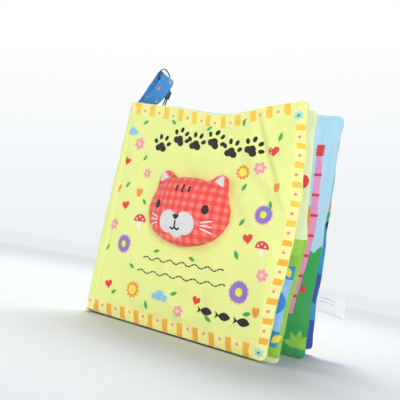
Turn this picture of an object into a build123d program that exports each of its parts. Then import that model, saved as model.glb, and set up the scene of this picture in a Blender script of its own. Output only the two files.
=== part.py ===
"""A padded cloth picture book for a baby, standing on its lower edges with its leaves fanned open.

Two folded sheets of wadded cloth make four leaves: the outer sheet is the two covers and the
spine between them, and the inner sheet is one folded piece with two leaves. A stuffed cat's
head sits on the front cover, a ribbon loop is sewn into the top of the spine, a thin cord with a
slip lock is looped through the ribbon, and a care label is sewn into the back cover's fore edge.

Millimetres, +Z up along the spine, X from the spine towards the fore edges, Y from the front
cover towards the back cover. The origin is on the floor under the fold of the inner sheet.
"""

import os
from math import cos, pi, radians, sin, tan

from build123d import *

os.makedirs("parts", exist_ok=True)

# Leaves
leaf_height = 200.0
cover_width = 190.0
back_cover_width = 198.0
front_page_width = 194.0
back_page_width = 196.0
cover_thickness = 6.5
page_thickness = 6.0
cover_rim_radius = 2.9
page_rim_radius = 2.6
fore_corner_radius = 8.0
spine_corner_radius = 3.5
fore_edge_bulge = 3.0

# How the leaves stand: the floor under each one, and how far its top edge sags or rises
front_cover_lift = 2.5
back_cover_lift = 4.0
front_cover_sag = 12.5
page_sag = 3.0
front_page_drop = 3.5
back_page_rise = 8.0

# The fan, in degrees from +X about the spine
front_cover_angle = -13.0
front_page_angle = -12.5
back_page_angle = 4.0
back_cover_angle = 13.0

# Spine
spine_width = 26.0
spine_thickness = 3.4
spine_bulge = 2.2
spine_lip_depth = 5.2
spine_lip_thickness = 0.9
spine_inside_x = -3.0
spine_edge_cover = 1.2
hinge_gap = 0.38
seam_gap = 0.3

# Fold of the inner sheet
page_spacing = 7.5
page_foot_x = 2.0
fold_length = 7.0
fold_half_width = 6.2
fold_corner_radius = 2.0
ribbon_pocket_depth = 13.0
ribbon_pocket_x = 0.6

# Ribbon loop
ribbon_width = 16.0
ribbon_thickness = 1.1
ribbon_tail = 11.5
ribbon_rise = 34.0

# Stuffed head on the front cover
head_x = 96.0
head_z = 104.0
head_half_width = 42.5
head_half_height = 29.0
head_depth = 17.0
head_side_depth = 5.0
head_rim_radius = 3.5
ear_thickness = 7.0
ear_rim_radius = 2.4
ear_tip_radius = 7.0
patch_thickness = 0.8
patch_gap = 0.3
eye_spacing = 50.0
eye_height = 3.0
eye_radius = 3.7
whisker_width = 1.2

# Cord with its slip lock and knot
cord_diameter = 1.2
lock_diameter = 5.0
lock_length = 8.0
lock_slot_width = 1.75
lock_slot_length = 3.4
lock_edge_radius = 0.7
strand_spacing = 1.6
knot_diameter = 3.2
knot_height = 3.2

# Care label
label_reach = 26.0
label_height = 20.0
label_low = 35.0
label_droop = 4.5
label_thickness = 0.9
label_seam = 4.0


def leaf_plane(foot_x, foot_y, angle):
    """The plane of one leaf: x along the leaf from its foot, y up, z towards the front cover's side."""
    along = Vector(cos(radians(angle)), sin(radians(angle)), 0)
    return Plane(origin=(foot_x, foot_y, 0), x_dir=along, z_dir=along.cross(Vector(0, 0, 1)))


def leaf_outline(width, low, spine_top, fore_top, sag):
    """The outline of one leaf, with a sagging top edge and a fore edge that swells outwards."""
    with BuildSketch(mode=Mode.PRIVATE) as outline:
        with BuildLine():
            Line((0, low), (width, low))
            ThreePointArc((width, low), (width + fore_edge_bulge, (low + fore_top) / 2), (width, fore_top))
            Spline(
                (width, fore_top),
                (0.80 * width, fore_top - 0.45 * sag),
                (0.60 * width, (spine_top + fore_top) / 2 - sag),
                (0.30 * width, spine_top - 0.45 * sag),
                (0, spine_top),
            )
            Line((0, spine_top), (0, low))
        make_face()
        fillet(outline.vertices().group_by(Axis.X)[-1], radius=fore_corner_radius)
        fillet(outline.vertices().group_by(Axis.X)[0], radius=spine_corner_radius)
    return outline.sketch


def corner_radii(points):
    """The largest even arcs for a route's corners: 0.45 of the shorter run over the half turn's tangent."""
    radii = []
    for before, here, after in zip(points, points[1:], points[2:]):
        into, out = Vector(here) - Vector(before), Vector(after) - Vector(here)
        half_turn = radians(into.get_angle(out)) / 2
        radii.append(0.45 * min(into.length, out.length) / tan(half_turn))
    return radii


# Planes of the four leaves
front_cover_plane = leaf_plane(0, -spine_width / 2, front_cover_angle)
back_cover_plane = leaf_plane(0, spine_width / 2, back_cover_angle)
front_page_plane = leaf_plane(page_foot_x, -page_spacing / 2, front_page_angle)
back_page_plane = leaf_plane(page_foot_x, page_spacing / 2, back_page_angle)

# Front cover: a wadded leaf with rounded, sewn edges
front_cover_outline = leaf_outline(
    cover_width,
    front_cover_lift,
    front_cover_lift + leaf_height,
    front_cover_lift + leaf_height,
    front_cover_sag,
)
with BuildPart() as front_cover:
    with BuildSketch(front_cover_plane):
        add(front_cover_outline)
    extrude(amount=cover_thickness / 2, both=True)
    fillet(front_cover.faces().filter_by(front_cover_plane).edges(), radius=cover_rim_radius)
front_cover.part.label = "front_cover"
export_step(front_cover.part, "parts/front_cover.step")

# Back cover: as the front cover, slit at its fore edge where the label is sewn in
back_cover_outline = leaf_outline(
    back_cover_width,
    back_cover_lift,
    back_cover_lift + leaf_height,
    back_cover_lift + leaf_height,
    page_sag,
)
label_top = label_low + label_height
with BuildPart() as back_cover:
    with BuildSketch(back_cover_plane):
        add(back_cover_outline)
    extrude(amount=cover_thickness / 2, both=True)
    fillet(back_cover.faces().filter_by(back_cover_plane).edges(), radius=cover_rim_radius)
    with BuildSketch(back_cover_plane):
        with Locations((back_cover_width - label_seam - seam_gap, label_low - seam_gap)):
            Rectangle(
                2 * label_seam + 4 * seam_gap,
                label_height + 2 * seam_gap,
                align=(Align.MIN, Align.MIN),
            )
    extrude(amount=label_thickness / 2 + seam_gap, both=True, mode=Mode.SUBTRACT)
back_cover.part.label = "back_cover"
export_step(back_cover.part, "parts/back_cover.step")

# Inner sheet: two leaves and the fold that joins them, notched at the top for the ribbon's tails
front_page_outline = leaf_outline(
    front_page_width,
    0,
    leaf_height - front_page_drop + 1,
    leaf_height - front_page_drop,
    page_sag,
)
back_page_outline = leaf_outline(
    back_page_width,
    0,
    leaf_height,
    leaf_height + back_page_rise,
    page_sag,
)
fold_top = leaf_height - front_page_drop - spine_corner_radius
with BuildPart() as pages:
    with BuildSketch(front_page_plane):
        add(front_page_outline)
    extrude(amount=page_thickness / 2, both=True)
    fillet(pages.faces().filter_by(front_page_plane).edges(), radius=page_rim_radius)
    with BuildSketch(back_page_plane):
        add(back_page_outline)
    extrude(amount=page_thickness / 2, both=True)
    fillet(pages.faces().filter_by(back_page_plane).edges(), radius=page_rim_radius)
    with BuildSketch() as fold:
        with Locations((spine_inside_x + seam_gap, 0)):
            Rectangle(
                page_foot_x + fold_length - spine_inside_x - seam_gap,
                2 * fold_half_width,
                align=(Align.MIN, Align.CENTER),
            )
        fillet(fold.vertices().group_by(Axis.X)[0], radius=fold_corner_radius)
    extrude(amount=fold_top)
    with BuildSketch(Plane.XY.offset(leaf_height - ribbon_pocket_depth)):
        with Locations((spine_inside_x, 0)):
            Rectangle(
                ribbon_pocket_x - spine_inside_x,
                2 * fold_half_width,
                align=(Align.MIN, Align.CENTER),
            )
    extrude(amount=ribbon_pocket_depth, mode=Mode.SUBTRACT)
pages.part.label = "pages"
export_step(pages.part, "parts/pages.step")

# Spine: the outer sheet's folded strip, with a lip that turns in beside each cover
hinge_radius = cover_thickness / 2
hinge_y = spine_width / 2 + hinge_radius * sin(radians(-front_cover_angle))
lip_outside = hinge_y - hinge_radius - hinge_gap
lip_inside = lip_outside - spine_lip_thickness
lip_end = spine_inside_x + spine_lip_depth
spine_back_x = spine_inside_x - spine_thickness + spine_bulge / 2
with BuildPart() as spine:
    with BuildSketch() as channel:
        with BuildLine() as half:
            Polyline(
                (spine_inside_x, 0),
                (spine_inside_x, lip_inside),
                (lip_end, lip_inside),
                (lip_end, lip_outside),
                (spine_back_x, lip_outside + spine_edge_cover),
            )
            ThreePointArc(
                (spine_back_x, lip_outside + spine_edge_cover),
                (spine_back_x - spine_bulge * 0.75, (lip_outside + spine_edge_cover) / 2),
                (spine_back_x - spine_bulge, 0),
            )
            Line((spine_back_x - spine_bulge, 0), (spine_inside_x, 0))
        make_face()
        mirror(about=Plane.XZ)
        fillet(channel.vertices().group_by(Axis.X)[-1], radius=spine_lip_thickness * 0.4)
    extrude(amount=leaf_height - 1)
spine.part.label = "spine"
export_step(spine.part, "parts/spine.step")

# Ribbon loop: both tails are sewn between the spine and the fold, and the loop leans to the fore edge
ribbon_foot = leaf_height - ribbon_tail
ribbon_top = leaf_height + ribbon_rise
ribbon_back_x = spine_inside_x + seam_gap + ribbon_thickness / 2
ribbon_front_x = ribbon_pocket_x - seam_gap - ribbon_thickness / 2
ribbon_route = [
    (ribbon_back_x, ribbon_foot),
    (ribbon_back_x, leaf_height),
    (5.8, leaf_height + 14.0),
    (12.8, ribbon_top - 8.5),
    (19.0, ribbon_top - 0.4),
    (26.6, ribbon_top),
    (26.2, ribbon_top - 8.0),
    (19.2, leaf_height + 13.5),
    (11.8, leaf_height + 5.4),
    (ribbon_front_x, leaf_height - 0.8),
    (ribbon_front_x, ribbon_foot),
]
with BuildPart() as carry_loop:
    with BuildSketch(Plane.XZ):
        with BuildLine():
            FilletPolyline(*ribbon_route, radius=corner_radii(ribbon_route))
        trace(line_width=ribbon_thickness)
    extrude(amount=ribbon_width / 2, both=True)
carry_loop.part.label = "carry_loop"
export_step(carry_loop.part, "parts/carry_loop.step")

# Head: a dome over an oval, with two ears of even thickness behind its upper edge
head_base = cover_thickness / 2 + seam_gap
head_plane = Plane(
    origin=front_cover_plane.from_local_coords((head_x, head_z, head_base)),
    x_dir=front_cover_plane.x_dir,
    z_dir=front_cover_plane.z_dir,
)
dome_drop = head_depth - head_side_depth
dome_radius = (head_half_width**2 + dome_drop**2) / (2 * dome_drop)
dome_centre = head_plane.from_local_coords((0, 0, head_depth - dome_radius))
head_outward = Axis(head_plane.origin, head_plane.z_dir)
with BuildPart() as dome:
    with BuildSketch(head_plane):
        Ellipse(head_half_width, head_half_height)
    extrude(amount=head_depth + 1)
    with Locations(dome_centre):
        Sphere(dome_radius, mode=Mode.INTERSECT)
    fillet(dome.faces().sort_by(head_outward)[-1].edges(), radius=head_rim_radius)

ear_outline = [
    (-0.93 * head_half_width, 0.20 * head_half_height),
    (-0.80 * head_half_width, 1.34 * head_half_height),
    (-0.22 * head_half_width, 0.80 * head_half_height),
]
with BuildPart() as head:
    with BuildSketch(head_plane) as ears:
        with BuildLine():
            Polyline(*ear_outline, close=True)
        make_face()
        fillet(ears.vertices().sort_by(Axis.Y)[-1], radius=ear_tip_radius)
        mirror(about=Plane.YZ)
    extrude(amount=ear_thickness)
    fillet(head.faces().sort_by(head_outward)[-2:].edges(), radius=ear_rim_radius)
    add(dome.part)
head.part.label = "head"
export_step(head.part, "parts/head.step")

# Ear linings: a plain pointed patch on each ear
ear_centre_x = 0.70 * head_half_width
ear_centre_y = 0.97 * head_half_height
lining_corner_radius = 1.6
for side, name in ((-1, "left_ear_lining"), (1, "right_ear_lining")):
    with BuildPart() as lining:
        with BuildSketch(head_plane.offset(ear_thickness + patch_gap)) as patch:
            with BuildLine():
                Polyline(
                    (side * (ear_centre_x + 4.5), ear_centre_y - 5.5),
                    (side * (ear_centre_x + 2.5), ear_centre_y + 5.5),
                    (side * (ear_centre_x - 6.5), ear_centre_y - 0.5),
                    close=True,
                )
            make_face()
            fillet(patch.vertices(), radius=lining_corner_radius)
        extrude(amount=patch_thickness)
    lining.part.label = name
    export_step(lining.part, f"parts/{name}.step")


def on_dome(outline, name, layer=0):
    """A thin patch of the outline's shape, laid on the head's dome or on the patches below it."""
    inside = dome_radius + patch_gap + layer * (patch_thickness + patch_gap)
    with BuildPart() as patch:
        with BuildSketch(head_plane):
            add(outline)
        extrude(amount=head_depth + 4)
        with Locations(dome_centre):
            Sphere(inside + patch_thickness, mode=Mode.INTERSECT)
        with Locations(dome_centre):
            Sphere(inside, mode=Mode.SUBTRACT)
    patch.part.label = name
    export_step(patch.part, f"parts/{name}.step")


# Muzzle: two cheeks and a chin in one patch
cheek_radius = 9.5
cheek_spacing = 17.0
muzzle_y = -10.5
chin_drop = 4.5
chin_half_width = 9.0
chin_half_height = 8.5
with BuildSketch() as muzzle_outline:
    with Locations((-cheek_spacing / 2, muzzle_y), (cheek_spacing / 2, muzzle_y)):
        Circle(cheek_radius)
    with Locations((0, muzzle_y - chin_drop)):
        Ellipse(chin_half_width, chin_half_height)
on_dome(muzzle_outline.sketch, "muzzle")

# Eyes
for side, name in ((-1, "left_eye"), (1, "right_eye")):
    with BuildSketch() as eye_outline:
        with Locations((side * eye_spacing / 2, eye_height)):
            Circle(eye_radius)
    on_dome(eye_outline.sketch, name)

# Nose: a small rounded triangle on the muzzle
nose_half_width = 4.4
nose_top = muzzle_y + 6.6
nose_low = muzzle_y + 1.2
nose_corner_radius = 1.1
with BuildSketch() as nose_outline:
    with BuildLine():
        Polyline((-nose_half_width, nose_top), (nose_half_width, nose_top), (0, nose_low), close=True)
    make_face()
    fillet(nose_outline.vertices(), radius=nose_corner_radius)
on_dome(nose_outline.sketch, "nose", layer=1)

# Mouth: a short line down from the nose and a curve to each side
mouth_low = muzzle_y - 4.0
mouth_reach = 4.6
mouth_curve = 2.2
mouth_end = mouth_low + 0.6
with BuildSketch() as mouth_outline:
    with BuildLine():
        Line((0, nose_low - 0.4), (0, mouth_low))
        ThreePointArc(
            (0, mouth_low),
            (mouth_reach * 0.55, mouth_low - mouth_curve),
            (mouth_reach, mouth_end),
        )
        ThreePointArc(
            (0, mouth_low),
            (-mouth_reach * 0.55, mouth_low - mouth_curve),
            (-mouth_reach, mouth_end),
        )
    trace(line_width=whisker_width)
on_dome(mouth_outline.sketch, "mouth", layer=1)

# Whiskers: three sewn lines on each cheek, fanned
whisker_length = 10.0
whisker_x = 27.5
whisker_pitch = 3.6
whisker_fan = 16.0
with BuildSketch() as whisker_outline:
    for side in (-1, 1):
        for step in (1, 0, -1):
            whisker_y = muzzle_y + whisker_pitch * step
            with Locations(Location((side * whisker_x, whisker_y, 0), (0, 0, side * whisker_fan * step))):
                Rectangle(whisker_length, whisker_width)
on_dome(whisker_outline.sketch, "whiskers")

# Forehead stripes: three upright sewn bars
stripe_length = 8.0
stripe_width = 2.4
stripe_pitch = 6.5
with BuildSketch() as stripe_outline:
    for column, length in ((-1, 0.75), (0, 1.0), (1, 0.75)):
        with Locations((column * stripe_pitch, 0.62 * head_half_height)):
            SlotOverall(stripe_length * length, stripe_width, rotation=90)
on_dome(stripe_outline.sketch, "forehead_stripes")

# Care label: a folded satin tab that droops a little from the back cover's seam
with BuildPart() as care_label:
    with BuildSketch(back_cover_plane):
        with BuildLine():
            Polyline(
                (back_cover_width - label_seam, label_low),
                (back_cover_width + fore_edge_bulge, label_low),
                (back_cover_width + label_reach, label_low - label_droop),
                (back_cover_width + label_reach, label_top - label_droop),
                (back_cover_width + fore_edge_bulge, label_top),
                (back_cover_width - label_seam, label_top),
                close=True,
            )
        make_face()
    extrude(amount=label_thickness / 2, both=True)
care_label.part.label = "care_label"
export_step(care_label.part, "parts/care_label.step")

# Slip lock: a small barrel with a slot for both strands, behind the ribbon
ribbon_side = ribbon_width / 2
lock_centre = Vector(22.2, ribbon_side + 4.2, ribbon_top - 15.5)
lock_tilt = 15.0
lock_axis = Vector(sin(radians(lock_tilt)), 0, cos(radians(lock_tilt)))
strand_side = Vector(cos(radians(lock_tilt)), 0, -sin(radians(lock_tilt)))
lock_plane = Plane(origin=lock_centre - lock_axis * (lock_length / 2), x_dir=strand_side, z_dir=lock_axis)
with BuildPart() as cord_lock:
    with BuildSketch(lock_plane):
        Circle(lock_diameter / 2)
    extrude(amount=lock_length)
    fillet(cord_lock.edges().filter_by(GeomType.CIRCLE), radius=lock_edge_radius)
    with BuildSketch(lock_plane):
        SlotOverall(lock_slot_length, lock_slot_width)
    extrude(amount=lock_length, mode=Mode.SUBTRACT)
cord_lock.part.label = "cord_lock"
export_step(cord_lock.part, "parts/cord_lock.step")

# Cord: up through the lock, over the top of the ribbon loop, back through the loop and down again
strand_run = lock_length / 2 + 1.2
left_strand = lock_centre - strand_side * (strand_spacing / 2)
right_strand = lock_centre + strand_side * (strand_spacing / 2)
cord_route = [
    Vector(19.35, ribbon_side + 2.3, leaf_height - 0.3),
    Vector(18.9, ribbon_side + 3.1, leaf_height + 5.6),
    left_strand - lock_axis * strand_run,
    left_strand + lock_axis * strand_run,
    Vector(23.0, ribbon_side + 4.3, ribbon_top - 4.8),
    Vector(22.5, ribbon_side + 2.6, ribbon_top + 0.4),
    Vector(21.8, ribbon_side - 1.4, ribbon_top + 4.4),
    Vector(21.2, 1.2, ribbon_top + 6.4),
    Vector(21.0, 3.4 - ribbon_side, ribbon_top + 5.6),
    Vector(21.3, -1.2 - ribbon_side, ribbon_top + 2.2),
    Vector(21.5, -2.8 - ribbon_side, ribbon_top - 2.6),
    Vector(21.0, -0.2 - ribbon_side, ribbon_top - 6.2),
    Vector(20.6, -2.8, ribbon_top - 7.4),
    Vector(20.9, 3.0, ribbon_top - 7.2),
    Vector(22.3, ribbon_side + 0.4, ribbon_top - 6.8),
    right_strand + lock_axis * strand_run,
    right_strand - lock_axis * strand_run,
    Vector(21.9, ribbon_side + 3.0, leaf_height + 5.2),
    Vector(21.05, ribbon_side + 2.3, leaf_height - 0.3),
]
cord_radii = corner_radii(cord_route)
with BuildPart() as tag_cord:
    with BuildLine() as cord_line:
        FilletPolyline(*cord_route, radius=cord_radii)
    with BuildSketch(Plane(cord_line.line @ 0, z_dir=cord_line.line % 0)):
        Circle(cord_diameter / 2)
    sweep()
tag_cord.part.label = "tag_cord"
export_step(tag_cord.part, "parts/tag_cord.step")
cord_length = sum(edge.length for edge in cord_line.edges())
cord_section = pi * cord_diameter**2 / 4
volume_ratio = tag_cord.part.volume / (cord_section * cord_length)
print("cord length", round(cord_length, 2), "mm; volume over section times length", round(volume_ratio, 5))

# Knot that holds the cord's two ends, hanging between the back page and the back cover
knot_top = cord_route[0].Z - seam_gap
with BuildPart() as cord_knot:
    with BuildSketch(Plane.XY.offset(knot_top - knot_height)):
        with Locations(((cord_route[0].X + cord_route[-1].X) / 2, cord_route[0].Y)):
            Circle(knot_diameter / 2)
    extrude(amount=knot_height)
    fillet(cord_knot.edges(), radius=knot_diameter * 0.3)
cord_knot.part.label = "cord_knot"
export_step(cord_knot.part, "parts/cord_knot.step")
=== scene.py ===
"""A padded cloth picture book for a baby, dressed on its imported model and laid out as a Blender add-on."""

from math import atan2, cos, exp, hypot, pi, radians, sin, sqrt

import bmesh
import bpy
import numpy as np
from mathutils import Matrix, Vector
from mathutils.bvhtree import BVHTree


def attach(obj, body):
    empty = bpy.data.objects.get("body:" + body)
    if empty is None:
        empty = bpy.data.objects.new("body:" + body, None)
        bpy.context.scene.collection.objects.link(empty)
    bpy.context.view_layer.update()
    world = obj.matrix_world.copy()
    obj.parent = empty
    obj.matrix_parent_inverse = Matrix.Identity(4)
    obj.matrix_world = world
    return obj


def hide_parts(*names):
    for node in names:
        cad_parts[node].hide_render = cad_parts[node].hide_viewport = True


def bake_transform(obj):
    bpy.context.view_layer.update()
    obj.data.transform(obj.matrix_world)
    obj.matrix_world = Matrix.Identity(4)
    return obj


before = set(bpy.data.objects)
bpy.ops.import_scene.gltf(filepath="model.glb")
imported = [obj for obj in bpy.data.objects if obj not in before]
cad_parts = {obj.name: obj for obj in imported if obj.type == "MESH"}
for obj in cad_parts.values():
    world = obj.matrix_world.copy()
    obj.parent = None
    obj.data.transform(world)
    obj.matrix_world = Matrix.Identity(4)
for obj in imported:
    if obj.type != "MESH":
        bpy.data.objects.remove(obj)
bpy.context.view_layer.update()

bl_info = {
    "name": "Cloth Book",
    "version": (1, 0, 0),
    "blender": (4, 5, 0),
    "location": "3D View > Sidebar > Cloth Book",
    "description": "Makes a padded cloth picture book with a stuffed cat's head, a ribbon and a cord",
    "category": "Object",
}

MM = 0.001
LEAF_HEIGHT = 200.0  # Height of a leaf's flat cut, in millimetres.
PRINT_UNIT = 200.0  # Millimetres of cloth to one unit of a piece's UV map.


def linear(code):
    """An sRGB hex code as the linear colour that the shaders take."""
    parts = [int(code[i : i + 2], 16) / 255 for i in (1, 3, 5)]
    return tuple(c / 12.92 if c <= 0.04045 else ((c + 0.055) / 1.055) ** 2.4 for c in parts) + (1.0,)


def length_property(name, description, default):
    """A length that a user may change, in metres."""
    return bpy.props.FloatProperty(
        name=name, description=description, default=default, unit="LENGTH", precision=5
    )


def colour_property(name, description, code):
    """A colour that a user may change, given as a hex code."""
    return bpy.props.FloatVectorProperty(
        name=name, description=description, default=linear(code), subtype="COLOR", size=4, min=0, max=1
    )


class ClothBookSizes(bpy.types.PropertyGroup):
    """Sizes of the wadding, the prints and the trims."""

    seam_half: length_property("Seam", "Half the thickness at a leaf's sewn edge", 0.45 * MM)
    crown: length_property("Crown", "How far the middle of a leaf swells past its edge", 0.7 * MM)
    swell: length_property("Swell", "The most that the wadding pushes the cloth out", 1.5 * MM)
    pressure: bpy.props.FloatProperty(name="Wadding pressure", description="Cloth pressure", default=4.0)
    spare: bpy.props.FloatProperty(
        name="Spare cloth", description="Share of extra cloth over the wadding", default=0.012
    )
    print_lift: length_property("Print lift", "How far a printed shape lies over its cloth", 0.11 * MM)
    thread: length_property(
        "Thread spacing", "Spacing of the cotton's threads, drawn coarse enough to show", 0.5 * MM
    )
    check: length_property("Gingham check", "Width of one band of the gingham", 3.6 * MM)
    cord_diameter: length_property("Cord diameter", "Diameter of the black cord", 1.2 * MM)


class ClothBookColours(bpy.types.PropertyGroup):
    """Colours of the cloths, prints and trims."""

    lemon: colour_property("Lemon", "Cover cloth", "#EDF49A")
    border: colour_property("Border", "Band round the cover", "#F5F39E")
    bar: colour_property("Bars", "Bars in the border", "#F6B63C")
    sky: colour_property("Sky", "Sky on the pages", "#B2DCEE")
    grass: colour_property("Grass", "Hills on the pages", "#3FA556")
    lime: colour_property("Lime", "Light green print", "#93CB4B")
    hem: colour_property("Hem", "Pale yellow-green page edge", "#EBF2BC")
    teal: colour_property("Teal", "Teal-blue print", "#3F95C4")
    pond: colour_property("Pond", "Mid-blue print", "#3D93D2")
    navy: colour_property("Navy", "Dark blue print", "#3A55A8")
    pink: colour_property("Pink", "Pink print", "#F79AC6")
    red: colour_property("Red", "Red print", "#E8433E")
    coral: colour_property("Coral", "Gingham", "#EC3A31")
    purple: colour_property("Purple", "Purple print", "#8F7CC4")
    orange: colour_property("Orange", "Orange print", "#F59A3A")
    leaf: colour_property("Leaf", "Leaf-green print", "#3FAE55")
    yellow: colour_property("Yellow", "Yellow print", "#F7E55A")
    cloud: colour_property("Cloud", "Light blue print", "#8FCDEB")
    cream: colour_property("Cream", "Cream print", "#FBF3DC")
    charcoal: colour_property("Charcoal", "Dark print and thread", "#211D1B")
    white: colour_property("White", "Felt and white thread", "#DEDEDD")
    ribbon: colour_property("Ribbon", "Ribbon", "#4F9FE0")
    floor: colour_property("Floor", "Floor", "#D9DDE0")


def sizes():
    """The sizes as they are set in the scene."""
    return bpy.context.scene.cloth_book_sizes


def colours():
    """The colours as they are set in the scene."""
    return bpy.context.scene.cloth_book_colours


def add(tree, kind, *values, out=0, **settings):
    """Adds one shader node with its settings, and fills its sockets in order with links or values."""
    node = tree.nodes.new("ShaderNode" + kind)
    for key, value in settings.items():
        setattr(node, key, value)
    for socket, value in zip([s for s in node.inputs if s.enabled], values):
        if isinstance(value, bpy.types.NodeSocket):
            tree.links.new(value, socket)
        elif value is not None:
            socket.default_value = value
    outputs = [s for s in node.outputs if s.enabled]
    return outputs[out] if outputs else node


def new_material(name):
    """An empty material and its node tree."""
    material = bpy.data.materials.new(name)
    material.use_nodes = True
    material.node_tree.nodes.clear()
    return material, material.node_tree


def close_material(tree, bump, colour, **sockets):
    """The Principled shader and the output, with plain numbers set on the shader's own sockets."""
    shader = add(tree, "BsdfPrincipled", colour)
    for name, value in sockets.items():
        shader.node.inputs[name.replace("_", " ")].default_value = value
    tree.links.new(bump, shader.node.inputs["Normal"])
    add(tree, "OutputMaterial", shader)


def cloth_millimetres(tree):
    """The piece's own cloth coordinates, in millimetres, as a vector, its x and its y."""
    place = add(tree, "VectorMath", add(tree, "UVMap"), (PRINT_UNIT,) * 3, operation="MULTIPLY")
    x, y, _ = add(tree, "SeparateXYZ", place).node.outputs
    return place, x, y


def total(tree, *shares):
    """The sum of a few values, each times its share."""
    result = 0.0
    for value, share in shares:
        result = add(tree, "Math", value, share, result, operation="MULTIPLY_ADD")
    return result


def wave(tree, value, rate, operation="SINE"):
    """A wave along a value, which turns by a rate in radians per millimetre."""
    return add(tree, "Math", add(tree, "Math", value, rate, operation="MULTIPLY"), operation=operation)


def both(tree, *masks):
    """1 where all the masks are 1."""
    result = masks[0]
    for mask in masks[1:]:
        result = add(tree, "Math", result, mask, operation="MULTIPLY")
    return result


def either(tree, *masks):
    """1 where one of the masks is 1."""
    result = masks[0]
    for mask in masks[1:]:
        result = add(tree, "Math", result, mask, operation="MAXIMUM")
    return result


def area(tree, *spans):
    """1 where each value lies between its two limits, of which None is no limit."""
    masks = []
    for value, low, high in spans:
        if low is None:
            masks.append(add(tree, "Math", value, high, operation="LESS_THAN"))
        elif high is None:
            masks.append(add(tree, "Math", value, low, operation="GREATER_THAN"))
        else:
            masks.append(
                add(tree, "Math", value, (low + high) / 2, (high - low) / 2, operation="COMPARE")
            )
    return both(tree, *masks)


def printed(tree, cloth, *inks):
    """Prints inks on a cloth one after another, each with a mask, which is 1 where it lies."""
    for mask, ink in inks:
        cloth = add(tree, "Mix", mask, cloth, ink, data_type="RGBA")
    return cloth


def from_step(tree, value, first, pitch):
    """How far a value is from the nearest of a row of places, each a pitch from the next, with its sign."""
    turns = total(tree, (value, 1 / pitch), (1.0, -first / pitch))
    nearest = add(tree, "Math", turns, operation="ROUND")
    return total(tree, (turns, pitch), (nearest, -pitch))


def distance(tree, across, along):
    """How far a place is from a centre, from its two distances."""
    return add(tree, "VectorMath", add(tree, "CombineXYZ", across, along), operation="LENGTH")


def dot(tree, across, along, radius):
    """1 inside a dot, from the two distances to its centre."""
    return area(tree, (distance(tree, across, along), None, radius))


def bloom(tree, across, along, radius, petals):
    """1 inside a small printed flower."""
    angle = add(tree, "Math", across, along, operation="ARCTAN2")
    petal = add(tree, "MapRange", wave(tree, angle, petals, "COSINE"), -1.0, 1.0, radius * 0.62, radius)
    return add(tree, "Math", distance(tree, across, along), petal, operation="LESS_THAN")


def hand_cut(tree, place, x, y, amount=0.7):
    """Both coordinates with the slight waver of a hand-drawn edge."""
    waver = add(tree, "MapRange", add(tree, "TexNoise", place, 0.16, 1.0), 0.0, 1.0, -amount, amount)
    return [add(tree, "Math", value, waver, operation="ADD") for value in (x, y)]


def finish_cotton(tree, place, x, y, colour, pucker=0.22, thread_depth=0.035, rough=0.86, billow=0.0):
    """Plain-woven cotton: threads over and under each other, soft puckers of the wadding, an uneven dye."""
    rate = pi * MM / sizes().thread
    weave = add(tree, "Math", wave(tree, x, rate), wave(tree, y, rate), operation="MULTIPLY")
    soft = add(tree, "TexNoise", place, 0.11, 2.0, 0.5)
    fine = add(tree, "TexNoise", place, 0.9, 3.0, 0.6)
    heights = [(weave, thread_depth), (soft, pucker * 4)]
    if billow:
        heights.append((add(tree, "TexNoise", place, 0.038, 1.0), billow))
    bump = add(tree, "Bump", 0.8, MM, 1.0, total(tree, *heights))
    # The colour is painted slightly lighter where the threads rise and darker where they dip, as painted
    # shade of the weave; the fine noise is an uneven dye.
    tone = total(tree, (add(tree, "MapRange", fine, 0.3, 0.7, 0.955, 1.03), 1.0), (weave, 0.018))
    shade = add(tree, "VectorMath", colour, tone, operation="SCALE")
    close_material(tree, bump, shade, Roughness=rough, Sheen_Weight=0.15, Sheen_Roughness=0.5)


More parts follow.
